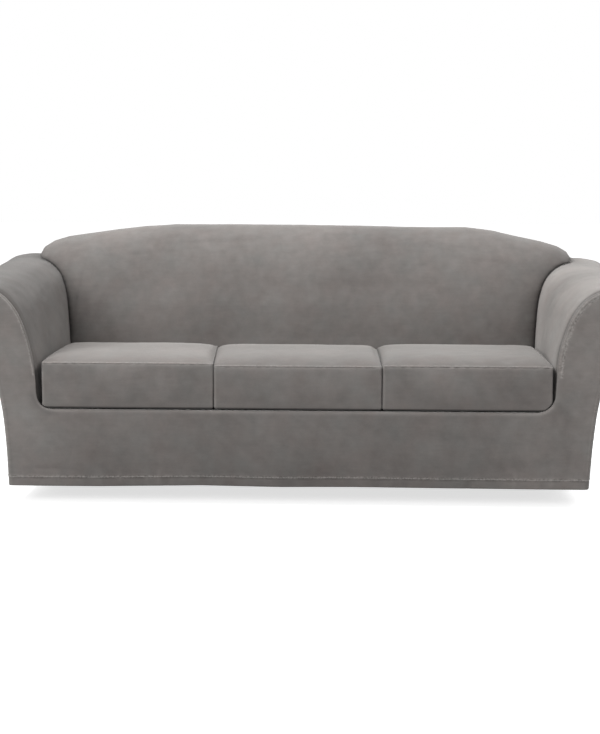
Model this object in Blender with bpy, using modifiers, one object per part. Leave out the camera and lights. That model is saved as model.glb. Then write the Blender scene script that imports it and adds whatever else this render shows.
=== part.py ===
"""Fitted slipcover of stretch plush for a three-seat sofa with flared, rolled arms.

The cover is empty: every panel is a sheet on the line where it is held by the sofa it fits.
Panels are worked out in the sofa's own frame: X to the viewer's right, Y from the front panel
towards the back, Z up from the floor. ORIGIN moves them so that the world's origin is the
place under the back's top where the sofa holds the cover up.
"""

import functools
import math
from collections import namedtuple

import bmesh
import bpy
from mathutils import Vector

# Driving sizes, in metres.
CLOTH = 0.002  # thickness of the plush
SEAM_GAP = 0.0005  # between panels that meet
CLEAR = 0.0025  # between a panel's free edge and the curved panel that it meets
DEPTH = 0.858  # from the front panel to the back seam
TOP_Z = 0.901  # highest line of the back
HEM_Z = 0.066  # lower edge, which leaves the sofa's feet bare
HEM_HEIGHT = 0.028  # from the lower edge up to the hem's stitching
HEM_PULL = 0.060  # how far above the stitching the cloth follows the hem's uneven edge
DECK_Z = 0.317  # seat deck and top of the front rail
SEAM_ROLL = 0.008  # how far a padded edge swells beyond its seam
ROLL_LENGTH = 0.010  # distance from the seam in which it swells
FRONT_SEAM_Y = SEAM_ROLL + CLOTH + CLEAR  # where the sleeves begin, behind the front panel

SHOULDER_START_Z = 0.66  # the back's face is level below this, and drops to its shoulders above
BACK_CROWN = 0.010  # how far the middle of the back's face swells forward
BACK_OVERLAP = 0.030  # how far inside the back's edge a sleeve is still whole
BACK_TUCK = 0.016  # how far a sleeve's inner edge runs on behind the back's face

LEFT, RIGHT = -1, 1
CORNER_X = 0.065  # rounded inside corner between arm front and rail
CORNER_Z = {LEFT: 0.088, RIGHT: 0.068}

SEAT_FRONT_Y, SEAT_BACK_Y = 0.004, 0.536
SEAT_SEAM_Z = 0.467  # front top seam of the cushions
SEAT_LIFT = 0.0035  # cushions' underside above the deck
SEAT_SPACE = 0.003  # between neighbouring cushions
SEAT_CORNER = 0.012  # corner radius seen from above
SEAT_TURN_IN = 0.032  # cloth gathered in under a cushion
SEAT_SEAM_TUCK = 0.0035  # how far the top panel's edge is tucked inside its band
SEAT_CLEAR = 0.0045  # between a cushion's front corners and the front panel's inside corners
SEAT_FREE_Y = 0.014  # behind this a cushion's side is past the front panel
SQUEEZE_X = 0.650  # beyond this a cushion's front is squeezed in by the front panel's corner

SLEEVE_AROUND = 36  # steps round an arm
FINE = 120  # steps of a section where another panel is fitted to it
TURN_WEIGHT = 0.12  # a radian's turn gets as many steps as this length of straight line

ORIGIN = Vector((0, 0.795, TOP_Z - 0.006))
PLUSH_COLOUR = (0.205, 0.190, 0.178, 1)
PLUSH_ROUGHNESS = 0.92

# Where the arms' seams run, from the deck up the inner face, over the roll and down the outer
# face to the hem. The two front seams are pulled unevenly; both arms share the back seam's line.
ArmRow = namedtuple("ArmRow", "left_x right_x front_z back_x back_z")
ARM_ROWS = [
    ArmRow(0.859, 0.848, DECK_Z + SEAM_GAP, 0.852, DECK_Z + SEAM_GAP),
    ArmRow(0.861, 0.847, 0.420, 0.853, 0.460),
    ArmRow(0.874, 0.851, 0.505, 0.861, 0.600),
    ArmRow(0.893, 0.869, 0.575, 0.870, 0.685),
    ArmRow(0.919, 0.894, 0.635, 0.896, 0.745),
    ArmRow(0.959, 0.935, 0.686, 0.940, 0.774),
    ArmRow(1.006, 0.985, 0.713, 0.992, 0.780),
    ArmRow(1.060, 1.050, 0.718, 1.050, 0.780),
    ArmRow(1.110, 1.108, 0.700, 1.112, 0.764),
    ArmRow(1.138, 1.138, 0.655, 1.147, 0.715),
    ArmRow(1.118, 1.118, 0.603, 1.132, 0.655),
    ArmRow(1.070, 1.070, 0.552, 1.085, 0.592),
    ArmRow(1.026, 1.028, 0.490, 1.036, 0.515),
    ArmRow(0.996, 1.000, 0.420, 1.003, 0.435),
    ArmRow(0.974, 0.979, 0.320, 0.979, 0.325),
    ArmRow(0.962, 0.966, 0.200, 0.964, 0.200),
    ArmRow(0.956, 0.957, HEM_Z, 0.955, HEM_Z),
]

ARM_LIFT = {LEFT: 0.005, RIGHT: -0.006}  # how far each arm's back end is off the common line
ARM_LIFT_FROM_Z, ARM_LIFT_HEIGHT = 0.600, 0.150

# How low the front hem hangs, which is uneven, from left to right.
HemRow = namedtuple("HemRow", "x z")
HEM_ROWS = [
    HemRow(-1.00, 0.0595),
    HemRow(-0.65, 0.0600),
    HemRow(-0.50, 0.0630),
    HemRow(-0.32, 0.0665),
    HemRow(-0.05, 0.0630),
    HemRow(0.18, 0.0655),
    HemRow(0.50, 0.0640),
    HemRow(1.00, 0.0632),
]

# The back's middle section: up its raked face, over the top and down to the seam behind.
BackRow = namedtuple("BackRow", "y z")
BACK_ROWS = [
    BackRow(0.545, DECK_Z + SEAM_GAP),
    BackRow(0.546, 0.440),
    BackRow(0.556, 0.540),
    BackRow(0.580, 0.640),
    BackRow(0.612, 0.730),
    BackRow(0.652, 0.808),
    BackRow(0.698, 0.863),
    BackRow(0.748, 0.892),
    BackRow(0.795, TOP_Z),
    BackRow(0.835, 0.894),
    BackRow(DEPTH - SEAM_GAP, 0.871),
]

# The back's highest line, from the middle out to each shoulder.
TopRow = namedtuple("TopRow", "x left_z right_z")
TOP_ROWS = [
    TopRow(0.000, TOP_Z, TOP_Z),
    TopRow(0.300, 0.9025, 0.8995),
    TopRow(0.480, 0.9020, 0.8965),
    TopRow(0.600, 0.8930, 0.8945),
    TopRow(0.700, 0.8820, 0.8825),
    TopRow(0.810, 0.8665, 0.8590),
    TopRow(0.890, 0.8550, 0.8425),
    TopRow(0.945, 0.8390, 0.8255),
    TopRow(0.980, 0.8165, 0.8060),
    TopRow(1.000, 0.7800, 0.7720),
    TopRow(1.020, 0.7350, 0.7300),
]

# The sides of the three cushion covers, in front and behind, how far each front seam is off the
# common height, and how high the top is crowned above it.
SeatRow = namedtuple("SeatRow", "name left_front left_back right_front right_back lift crown")
SEAT_ROWS = [
    SeatRow("cushion_left", -0.842, -0.845, -0.274, -0.306, 0.0015, 0.0250),
    SeatRow("cushion_middle", -0.274, -0.306, 0.279, 0.2715, -0.0060, 0.0305),
    SeatRow("cushion_right", 0.279, 0.2715, 0.834, 0.840, -0.0030, 0.0305),
]

# A cushion cover's band from the opening under it to the top seam: how far out and how high.
BandRow = namedtuple("BandRow", "out z")
BAND_ROWS = [
    BandRow(-SEAT_TURN_IN, DECK_Z + SEAT_LIFT + 0.0015),
    BandRow(-0.018, DECK_Z + SEAT_LIFT),
    BandRow(-0.006, DECK_Z + SEAT_LIFT + 0.0005),
    BandRow(-0.0005, DECK_Z + SEAT_LIFT + 0.006),
    BandRow(0.0, 0.342),
    BandRow(0.0, 0.366),
    BandRow(0.0, 0.430),
    BandRow(-0.001, 0.456),
    BandRow(-0.005, SEAT_SEAM_Z - 0.001),
]
FRONT_SWELL = 0.009  # how far a cushion's front face swells forward

# Long soft creases in the plush: centre, length along x, height across, and depth.
Crease = namedtuple("Crease", "x z length height depth")
FRONT_CREASES = [
    Crease(-0.78, 0.130, 0.16, 0.018, 0.0020),
    Crease(-0.20, 0.190, 0.60, 0.050, 0.0012),
    Crease(0.45, 0.240, 0.50, 0.045, 0.0012),
    Crease(0.74, 0.140, 0.22, 0.030, 0.0015),
]
BACK_CREASES = [
    Crease(-0.35, 0.845, 0.50, 0.022, 0.0020),
    Crease(0.42, 0.830, 0.45, 0.020, 0.0018),
    Crease(0.10, 0.700, 0.80, 0.040, 0.0020),
    Crease(-0.45, 0.600, 0.50, 0.040, 0.0015),
]


def smooth_curve(points, count):
    """count + 1 points, evenly spaced along a smooth curve through the given ones."""
    steps = [(b - a).length for a, b in zip(points, points[1:])]
    last = len(points) - 1
    slopes = []
    for i in range(len(points)):
        before, after = max(i - 1, 0), min(i + 1, last)
        slopes.append((points[after] - points[before]) / sum(steps[before:after]))
    fine = []
    for i, step in enumerate(steps):
        for k in range(12):
            t = k / 12
            fine.append(
                points[i] * (2 * t**3 - 3 * t**2 + 1)
                + slopes[i] * step * (t**3 - 2 * t**2 + t)
                + points[i + 1] * (3 * t**2 - 2 * t**3)
                + slopes[i + 1] * step * (t**3 - t**2)
            )
    fine.append(points[-1].copy())
    return evenly(fine, count)


def evenly(points, count):
    """count + 1 points along a line of points, closer together where it turns."""
    along = [0.0]
    heading = points[1] - points[0]
    for a, b in zip(points, points[1:]):
        turn = heading.angle(b - a, 0)
        heading = b - a
        along.append(along[-1] + heading.length + TURN_WEIGHT * turn)
    chosen, i = [], 0
    for k in range(count + 1):
        target = along[-1] * k / count
        while i < len(points) - 2 and along[i + 1] < target:
            i += 1
        share = (target - along[i]) / max(along[i + 1] - along[i], 1e-9)
        chosen.append(points[i].lerp(points[i + 1], min(share, 1)))
    return chosen


def read_off(table, key, wanted, value):
    """Straight-line reading of one column of a table, or of a curve, at a value of another."""
    for a, b in zip(table, table[1:]):
        low, high = sorted((key(a), key(b)))
        if low <= wanted <= high and high > low:
            share = (wanted - key(a)) / (key(b) - key(a))
            return value(a) + (value(b) - value(a)) * share
    nearest = min((table[0], table[-1]), key=lambda row: abs(wanted - key(row)))
    return value(nearest)


def fullness(y):
    """0 at the front and back seams of a sleeve, and 1 where its padding swells it fully."""
    front = 1 - math.exp(-(y - FRONT_SEAM_Y) / ROLL_LENGTH)
    back = 1 - math.exp(-(DEPTH - y) / ROLL_LENGTH)
    return max(front, 0) * max(back, 0)


def hem_line(x):
    """Height of the front hem's lower edge."""
    return read_off(HEM_ROWS, lambda r: r.x, x, lambda r: r.z)


@functools.cache
def arm_section(side, y, count):
    """An arm's section at depth y, as Vectors (x outwards, z), from the deck round to the hem."""
    rows = []
    for row in ARM_ROWS:
        lift = ARM_LIFT[side] * min(max((row.back_z - ARM_LIFT_FROM_Z) / ARM_LIFT_HEIGHT, 0), 1)
        front = Vector((row.left_x if side == LEFT else row.right_x, row.front_z))
        rows.append(front.lerp(Vector((row.back_x, row.back_z + lift)), y / DEPTH))
    curve = smooth_curve(rows, count)
    swollen = []
    for i, point in enumerate(curve):
        along = curve[min(i + 1, count)] - curve[max(i - 1, 0)]
        outwards = Vector((-along.y, along.x)).normalized()
        swollen.append(point + outwards * SEAM_ROLL * fullness(y))
    swollen[0].y = ARM_ROWS[0].front_z
    swollen[-1].y = hem_line(side) + (HEM_Z - hem_line(side)) * y / DEPTH
    return swollen


def arm_height(side, x, y):
    """Height of the arm's inner face and top above a place on the plan, or None in the seat."""
    section = arm_section(side, y, FINE)
    for a, b in zip(section, section[1:]):
        if a.x <= x < b.x:
            return a.y + (b.y - a.y) * (x - a.x) / (b.x - a.x)
    return None


@functools.cache
def back_section(count):
    """The back's middle section as Vectors (y, z)."""
    return smooth_curve([Vector((r.y, r.z)) for r in BACK_ROWS], count)


def back_height(y):
    """Height of the back's middle section at a depth."""
    return read_off(back_section(FINE), lambda p: p.x, y, lambda p: p.y)


def shoulder_z(z, x):
    """Height of the back's section at x, where the section in the middle is at z."""
    if z <= SHOULDER_START_Z:
        return z
    top = read_off(TOP_ROWS, lambda r: r.x, abs(x), lambda r: r.left_z if x < 0 else r.right_z)
    share = (top - SHOULDER_START_Z) / (TOP_Z - SHOULDER_START_Z)
    return SHOULDER_START_Z + (z - SHOULDER_START_Z) * share


def shoulder_x(side, z, y):
    """How far out the back's section at middle height z and depth y meets the arm."""
    low, high = 0.83, 1.03
    for _ in range(24):
        middle = (low + high) / 2
        arm = arm_height(side, middle, y)
        if arm is None or shoulder_z(z, side * middle) > arm + CLEAR:
            low = middle
        else:
            high = middle
    return low - CLEAR


def crease_depth(creases, x, z):
    """How deep the soft creases press at a place."""
    return sum(
        c.depth * math.exp(-(((x - c.x) / c.length * 2) ** 2) - ((z - c.z) / c.height * 2) ** 2)
        for c in creases
    )


def plush(name):
    """The same taupe-grey plush for each panel, in a material of its own."""
    material = bpy.data.materials.new(name + "_plush")
    material.use_nodes = True
    shader = material.node_tree.nodes["Principled BSDF"]
    shader.inputs["Base Color"].default_value = PLUSH_COLOUR
    shader.inputs["Roughness"].default_value = PLUSH_ROUGHNESS
    shader.inputs["Metallic"].default_value = 0
    return material


def sheet(name, patches, inside, ring=False):
    """One solid of cloth from open patches of points, its thickness on the inner side.

    A patch is a list of rows of points in the sofa's frame. Patches share the points on their
    common edges. Faces are turned away from inside, and ring joins a row's last point to its
    first.
    """
    mesh = bmesh.new()
    for rows in patches:
        grid = [[mesh.verts.new(Vector(p) - ORIGIN) for p in row] for row in rows]
        for lower, upper in zip(grid, grid[1:]):
            for i in range(len(lower) if ring else len(lower) - 1):
                k = (i + 1) % len(lower)
                mesh.faces.new((lower[i], lower[k], upper[k], upper[i]))
    bmesh.ops.remove_doubles(mesh, verts=mesh.verts, dist=1e-6)
    mesh.normal_update()
    centre = Vector(inside) - ORIGIN
    facing = sum(f.normal.dot(f.calc_center_median() - centre) * f.calc_area() for f in mesh.faces)
    if facing < 0:
        bmesh.ops.reverse_faces(mesh, faces=mesh.faces)
    data = bpy.data.meshes.new(name)
    mesh.to_mesh(data)
    mesh.free()
    panel = bpy.data.objects.new(name, data)
    data.materials.append(plush(name))
    data.shade_smooth()
    cover.objects.link(panel)
    solid = panel.modifiers.new("cloth", "SOLIDIFY")
    solid.thickness = CLOTH
    solid.offset = -1
    solid.use_even_offset = True
    return panel


def spread(half_count, power):
    """Places from -1 to 1, closer together towards both ends."""
    right = [1 - (1 - i / half_count) ** power for i in range(half_count + 1)]
    return [-u for u in reversed(right[1:])] + right


def sleeve_end(side, i):
    """Depth at which line i along a sleeve has run in behind the back's face, or its end."""
    last = DEPTH - SEAM_GAP
    if i > SLEEVE_AROUND / 2:
        return last
    y = BACK_ROWS[0].y
    while y < last:
        point = arm_section(side, y, SLEEVE_AROUND)[i]
        nearer_edge = point.x + BACK_OVERLAP
        if nearer_edge < TOP_ROWS[-1].x:
            if point.y < shoulder_z(back_height(y), side * nearer_edge):
                return min(y + BACK_TUCK, last)
        y += 0.003
    return last


def sleeve(name, side):
    """Inner arm, roll and outer arm in one piece; side is -1 for the left arm."""
    ends = [sleeve_end(side, i) for i in range(SLEEVE_AROUND + 1)]
    rows = []
    for share in (0, 0.007, 0.022, 0.07, 0.25, 0.45, 0.65, 0.83, 0.965, 0.99, 1):
        row = []
        for i, end in enumerate(ends):
            y = FRONT_SEAM_Y + (end - FRONT_SEAM_Y) * share
            point = arm_section(side, y, SLEEVE_AROUND)[i]
            row.append((side * point.x, y, point.y))
        rows.append(row)
    return sheet(name, [rows], inside=(side * 1.03, 0.4, 0.62))


@functools.cache
def front_seam(side):
    """The inner and outer halves of an arm's front seam, each from below up to its crest."""
    outline = arm_section(side, FRONT_SEAM_Y, FINE)
    crest = max(range(len(outline)), key=lambda i: outline[i].y)
    return outline[: crest + 1], outline[: crest - 1 : -1]


def opening_x(side, z, gap=0):
    """How far out the front panel's inner edge is at a height, less a gap: seam or corner."""
    inner, _ = front_seam(side)
    corner_z = DECK_Z + CORNER_Z[side]
    if z >= corner_z:
        return read_off(inner, lambda p: p.y, z, lambda p: p.x) - gap
    start = read_off(inner, lambda p: p.y, corner_z, lambda p: p.x) - CORNER_X
    drop = min((corner_z - z) / (CORNER_Z[side] - gap), 1)
    return start + (CORNER_X - gap) * math.sqrt(1 - drop * drop)


def front_panel():
    """Both arm fronts and the rail between them, with the hem along the foot."""
    across = (0, 0.13, 0.38, 0.64, 0.87, 1)
    crest_steps = 14

    def outer_x(side, z):
        return read_off(front_seam(side)[1], lambda p: p.y, z, lambda p: p.x)

    def depth(x, z, at_seam):
        if at_seam:
            return SEAM_ROLL
        up = z - hem_line(x)
        hem = 0.001 if up < HEM_HEIGHT * 0.9 else 0
        groove = 0.0008 if abs(up - HEM_HEIGHT) < 0.001 else 0
        return groove - hem + crease_depth(FRONT_CREASES, x, z)

    def cloth_point(x, z, at_seam):
        """A place on the panel, which near the foot moves up and down with the hem."""
        hung = min(max(1 - (z - HEM_Z - HEM_HEIGHT) / HEM_PULL, 0), 1)
        z += (hem_line(x) - HEM_Z) * hung
        return x, depth(x, z, at_seam), z

    def arm_row(side, far, near, all_seam):
        row = []
        for u in across:
            p = far.lerp(near, u)
            row.append(cloth_point(side * p.x, p.y, all_seam or u in (0, 1)))
        return row

    foot_rows = []
    for z in (HEM_Z, HEM_Z + 0.022, HEM_Z + HEM_HEIGHT, 0.150, 0.225, 0.300, DECK_Z):
        top = z == DECK_Z
        ends = {}
        for side in (LEFT, RIGHT):
            far = Vector((outer_x(side, z), z))
            near = Vector((opening_x(side, DECK_Z), z))
            row = arm_row(side, far, near, False)
            row[-1] = cloth_point(side * near.x, z, top)
            ends[side] = row
        left_x, right_x = ends[LEFT][-1][0], ends[RIGHT][-1][0]
        rail = []
        for i in range(1, 18):
            rail.append(cloth_point(left_x + (right_x - left_x) * i / 18, z, top))
        foot_rows.append(ends[LEFT] + rail + ends[RIGHT][::-1])

    patches = [foot_rows]
    for side in (LEFT, RIGHT):
        corner_z = DECK_Z + CORNER_Z[side]
        near_side, far_side = [], []
        for k in range(6):
            z = corner_z - CORNER_Z[side] * math.cos(math.pi / 2 * k / 5)
            near_side.append(Vector((opening_x(side, z), z)))
            far_side.append(Vector((outer_x(side, z), z)))
        for line, seam in zip((near_side, far_side), front_seam(side)):
            rising = [line[-1]] + [p for p in seam if p.y > corner_z + 0.001]
            line += evenly(rising, crest_steps)[1:]
            line[-1] = line[-2].lerp(line[-1], 0.9)
        rows = []
        for k, (near, far) in enumerate(zip(near_side, far_side)):
            rows.append(arm_row(side, far, near, k == len(near_side) - 1))
        patches.append(rows if side == LEFT else [row[::-1] for row in rows])
    return sheet("front_panel", patches, inside=(0, 0.4, 0.3))


def inside_back():
    """The back's face, its rolled top and rounded shoulders."""
    columns = spread(14, 1.5)
    rows = []
    for section in back_section(15):
        reach = {side: shoulder_x(side, section.y, section.x) for side in (LEFT, RIGHT)}
        face = min(max((0.80 - section.x) / 0.1, 0), 1)
        swell = min(max((section.y - 0.50) / 0.12, 0), 1) * face
        row = []
        for u in columns:
            side = LEFT if u < 0 else RIGHT
            x = reach[side] * abs(u) * side
            z = shoulder_z(section.y, x)
            crease = crease_depth(BACK_CREASES, x, z) * face
            edge = SEAM_ROLL * math.exp(-(reach[side] - abs(x)) / 0.02) * swell
            y = section.x - BACK_CROWN * (1 - u * u) * swell + edge + crease
            row.append((x, y, z))
        rows.append(row)
    return sheet("inside_back", [rows], inside=(0, 0.74, 0.5))


def back_outline(side):
    """The rear panel's edge from the hem up round the arm's roll and along the top seam."""
    section = arm_section(side, DEPTH, SLEEVE_AROUND)[::-1]
    crest = max(range(len(section)), key=lambda i: section[i].y)
    outline = [section[0]]
    for z in (HEM_Z + 0.022, HEM_Z + HEM_HEIGHT):
        outline.append(Vector((read_off(section[:5], lambda p: p.y, z, lambda p: p.x), z)))
    outline += [p for p in section[: crest + 1] if p.y > HEM_Z + HEM_HEIGHT * 1.3]
    seam = BACK_ROWS[-1]
    reach = shoulder_x(side, seam.z, seam.y)
    steps = 11
    for k in range(1, steps + 1):
        x = reach + (0.42 - reach) * (k / steps) ** 1.25
        z = shoulder_z(seam.z, side * x)
        outline.append(Vector((x, max(z, outline[-1].y + 0.0015))))
    return outline


def outside_back():
    """The rear panel, which covers the back and both arms' ends."""
    left, right = back_outline(LEFT), back_outline(RIGHT)
    rows = []
    for i, (left_end, right_end) in enumerate(zip(left, right)):
        row = []
        for u in spread(4, 1.15):
            edge = abs(u) == 1 or i == len(left) - 1
            swell = 0 if edge else 0.004 * math.cos(u * math.pi / 2)
            groove = -0.001 if i == 2 and not edge else 0
            share = (u + 1) / 2
            x = (left_end if u < 0 else right_end).x * u
            z = left_end.y * (1 - share) + right_end.y * share
            row.append((x, DEPTH + CLOTH + swell + groove, z))
        rows.append(row)
    return sheet("outside_back", [rows], inside=(0, 0.5, 0.5))


def seat_deck():
    """The plain cloth under the cushions, which sags a little between its seams."""
    half = ARM_ROWS[0].back_x + 0.001
    front, back = FRONT_SEAM_Y, BACK_ROWS[0].y + CLOTH
    rows = []
    for j in range(5):
        v = j / 4
        row = []
        for u in spread(4, 1.0):
            sag = 0.004 * (1 - u**4) * math.sin(math.pi * v)
            row.append((half * u, front + (back - front) * v, DECK_Z - sag))
        rows.append(row)
    return sheet("seat_deck", [rows], inside=(0, 0.3, 0))


def rounded_place(u, v, half_x, half_y, radius):
    """A place on a rounded rectangle's plan, from a place on the square of -1 to 1."""
    ring = max(abs(u), abs(v), 1e-9)
    x, y = half_x * u / ring, half_y * v / ring
    core_x = min(max(x, radius - half_x), half_x - radius)
    core_y = min(max(y, radius - half_y), half_y - radius)
    away = Vector((x - core_x, y - core_y))
    if abs(x - core_x) > 1e-9 and abs(y - core_y) > 1e-9:
        away = away.normalized() * radius
    return Vector((core_x + away.x, core_y + away.y)) * ring


def cushion_cover(row):
    """Crowned top panel and boxing of one seat cushion's cover."""
    across, along = spread(5, 1.955), spread(4, 2.24)
    centre_y, half_y = (SEAT_FRONT_Y + SEAT_BACK_Y) / 2, (SEAT_BACK_Y - SEAT_FRONT_Y) / 2
    seam_in = BAND_ROWS[-1].out - SEAT_SEAM_TUCK
    half_x = (row.right_front - row.left_front - SEAT_SPACE) / 2

    def place(u, v, out):
        """A point on the cover's plan, out beyond its outline, which leans as the sides do."""
        flat = rounded_place(u, v, half_x + out, half_y + out, SEAT_CORNER)
        back = flat.y / (2 * half_y) + 0.5
        left = row.left_front + (row.left_back - row.left_front) * back + SEAT_SPACE / 2
        right = row.right_front + (row.right_back - row.right_front) * back - SEAT_SPACE / 2
        share = flat.x / (2 * half_x) + 0.5
        return left + (right - left) * share, centre_y + flat.y

    top_rows = []
    for v in along:
        cells = []
        for u in across:
            x, y = place(u, v, seam_in)
            crown = (1 - abs(u) ** 5) ** 0.65 * (1 - abs(v) ** 4) ** 0.7
            cells.append((x, y, SEAT_SEAM_Z + row.lift + row.crown * crown))
        top_rows.append(cells)
    inside = ((row.left_front + row.right_front) / 2, centre_y, 0.40)
    sheet(row.name + "_top", [top_rows], inside)

    loop = [(u, -1) for u in across] + [(1, v) for v in along[1:]]
    loop += [(u, 1) for u in across[-2::-1]] + [(-1, v) for v in along[-2:0:-1]]
    outermost = max(-row.left_front, row.right_front)
    band_rows = []
    for band in BAND_ROWS:
        height = (band.z - DECK_Z) / (SEAT_SEAM_Z - DECK_Z)
        z = band.z + row.lift * max(height, 0)
        cells = []
        for u, v in loop:
            x, y = place(u, v, band.out)
            if v == -1:
                y -= FRONT_SWELL * math.sin(math.pi * min(max(height, 0), 1)) * (1 - u * u)
            side = LEFT if x < 0 else RIGHT
            freed = min(max((y - SEAT_FREE_Y) / 0.06, 0), 1)
            limit = opening_x(side, z, SEAT_CLEAR) + 0.05 * freed * freed * (3 - 2 * freed)
            squeeze = min((limit - SQUEEZE_X) / (outermost - SQUEEZE_X), 1)
            cells.append((side * (abs(x) - max(abs(x) - SQUEEZE_X, 0) * (1 - squeeze)), y, z))
        band_rows.append(cells)
    sheet(row.name + "_boxing", [band_rows], inside, ring=True)


for old in list(bpy.data.objects):
    bpy.data.objects.remove(old, do_unlink=True)
cover = bpy.data.collections.new("sofa_slipcover")
bpy.context.scene.collection.children.link(cover)

front_panel()
sleeve("sleeve_left", LEFT)
sleeve("sleeve_right", RIGHT)
inside_back()
outside_back()
seat_deck()
for seat_row in SEAT_ROWS:
    cushion_cover(seat_row)
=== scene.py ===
# %% [markdown]
# # A sofa slipcover in stretch plush
#
# The slipcover is one garment: a front panel, two arm sleeves, an inside and an outside back,
# a plain deck under the seat, and three loose seat cushion covers of a top and a band each. The
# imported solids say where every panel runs. This script puts a finer sheet of cloth in the place
# of each, with rolled edges, puckered seams, a stitched hem and a short soft pile.

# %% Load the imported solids
import math
from collections import namedtuple

import bmesh
import bpy
import numpy as np
from mathutils import Matrix, Vector
from mathutils.kdtree import KDTree


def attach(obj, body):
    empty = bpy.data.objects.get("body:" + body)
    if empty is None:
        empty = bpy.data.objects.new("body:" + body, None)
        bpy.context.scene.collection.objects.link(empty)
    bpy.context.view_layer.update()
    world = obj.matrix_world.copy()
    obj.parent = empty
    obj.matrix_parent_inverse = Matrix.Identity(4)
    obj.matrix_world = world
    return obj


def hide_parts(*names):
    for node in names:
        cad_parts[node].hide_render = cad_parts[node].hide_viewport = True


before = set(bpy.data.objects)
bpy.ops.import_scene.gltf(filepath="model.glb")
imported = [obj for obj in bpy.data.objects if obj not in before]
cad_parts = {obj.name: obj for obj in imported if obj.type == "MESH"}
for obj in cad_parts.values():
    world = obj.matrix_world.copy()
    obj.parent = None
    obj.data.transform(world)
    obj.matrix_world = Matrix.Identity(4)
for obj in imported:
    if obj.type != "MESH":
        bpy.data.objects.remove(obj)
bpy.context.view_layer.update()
print("solids:", ", ".join(sorted(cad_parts)))

# %% [markdown]
# All sizes below are in metres, in the cover's own frame: X to the right, Y from the front panel
# towards the back, Z up from the floor. The world's origin is under the top of the back, where
# the cover is held up, so every finished mesh is moved by HELD_AT once.

# %% The cover's main sizes
HELD_AT = np.array((0.0, 0.795, 0.895))
CLOTH = 0.002  # thickness of the plush
DEPTH = 0.858  # from the front panel to the back seam
TOP_Z = 0.901  # highest line of the back
DECK_Z = 0.317  # seat deck and top of the front rail
HEM_Z = 0.066  # lower edge at the sides and the back
HEM_HEIGHT = 0.031  # from the lower edge up to the hem's stitching
HEM_PULL = 0.060  # how far above the stitching the cloth follows the hem's uneven edge
SEAM_GAP = 0.0005  # between panels that meet
CLEAR = 0.0025  # between the inside back's edge and the arms that it meets
SEAM_ROLL = 0.008  # how far a padded edge swells beyond its seam
ROLL_LENGTH = 0.010  # distance from the seam in which it swells
FRONT_SEAM_Y = 0.0125  # where the sleeves' solids begin, behind the front panel
LEFT, RIGHT = -1, 1

# %% [markdown]
# The camera stands at the photograph's place, a little right of the middle and at the height of
# the back, and looks slightly down through a long lens. Its numbers come from a fit of the
# cover's straight lines, so they are kept as measured.

# %% Camera
CAMERA_AT = (0.164, -4.750, 1.0712)
YAW, PITCH, ROLL = -0.0324, -0.1273, 0.0031
FOCAL_PIXELS, PICTURE_HEIGHT = 1468.1, 734
FILM = 36  # the sensor's height in millimetres


def add_object(name, data):
    """A new object in the scene."""
    thing = bpy.data.objects.new(name, data)
    bpy.context.scene.collection.objects.link(thing)
    return thing


def place_camera():
    """A camera with a fitted place, direction and focal length."""
    forward = Vector(
        (math.sin(YAW) * math.cos(PITCH), math.cos(YAW) * math.cos(PITCH), math.sin(PITCH))
    )
    level = Vector((math.cos(YAW), -math.sin(YAW), 0))
    upright = level.cross(forward)
    right = level * math.cos(ROLL) + upright * math.sin(ROLL)
    up = upright * math.cos(ROLL) - level * math.sin(ROLL)
    data = bpy.data.cameras.new("camera")
    data.sensor_fit = "VERTICAL"
    data.sensor_height = FILM
    data.lens = FOCAL_PIXELS / PICTURE_HEIGHT * FILM
    camera = add_object("camera", data)
    matrix = Matrix((right, up, -forward)).transposed().to_4x4()
    matrix.translation = Vector(CAMERA_AT) - Vector(HELD_AT)
    camera.matrix_world = matrix
    bpy.context.scene.camera = camera
    return camera


print("camera at", [round(v, 3) for v in place_camera().matrix_world.translation])

# %% [markdown]
# Plush shows its pile by the way light grazes it, so the light comes from big soft lamps above
# and to the left, in an even room. A product picture is white all round the object. Here room and
# floor are white where they are looked at and dimmer where they light the cloth, which the Light
# Path node tells apart.

# %% Light and floor
ROOM_LIGHT = 0.44  # how strongly the room lights the cloth
FLOOR_GLOW = 0.70  # how strongly the floor shines where it is looked at
FLOOR_BOUNCE = 0.30  # how much light it gives back to the cloth
AIMED_AT = (0.0, 0.4, 0.45)  # the middle of the seat
Lamp = namedtuple("Lamp", "name at size power")
LAMPS = [
    Lamp("sky", (-5.0, 0.0, 9.0), 4.0, 560),
    Lamp("left", (-4.0, -4.0, 2.5), 2.0, 125),
    Lamp("right", (4.0, -4.0, 2.5), 2.0, 40),
    Lamp("fill", (3.0, 0.0, 4.0), 2.5, 45),
]
FLOOR_HALF_WIDTH = 30.0


def two_ways(tree, seen, lit, end):
    """Shows one shader to the camera and lights the cloth with another."""
    path = tree.nodes.new("ShaderNodeLightPath")
    either = tree.nodes.new("ShaderNodeMixShader")
    tree.links.new(path.outputs["Is Camera Ray"], either.inputs["Fac"])
    tree.links.new(lit.outputs[0], either.inputs[1])
    tree.links.new(seen.outputs[0], either.inputs[2])
    tree.links.new(either.outputs["Shader"], end.inputs["Surface"])


def white_room():
    """A world that looks white and lights the cloth dimly."""
    world = bpy.data.worlds.new("room")
    world.use_nodes = True
    nodes = world.node_tree.nodes
    dim, white = nodes["Background"], nodes.new("ShaderNodeBackground")
    for background, strength in ((dim, ROOM_LIGHT), (white, 1.0)):
        background.inputs["Color"].default_value = (1, 1, 1, 1)
        background.inputs["Strength"].default_value = strength
    two_ways(world.node_tree, white, dim, nodes["World Output"])
    bpy.context.scene.world = world


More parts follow.
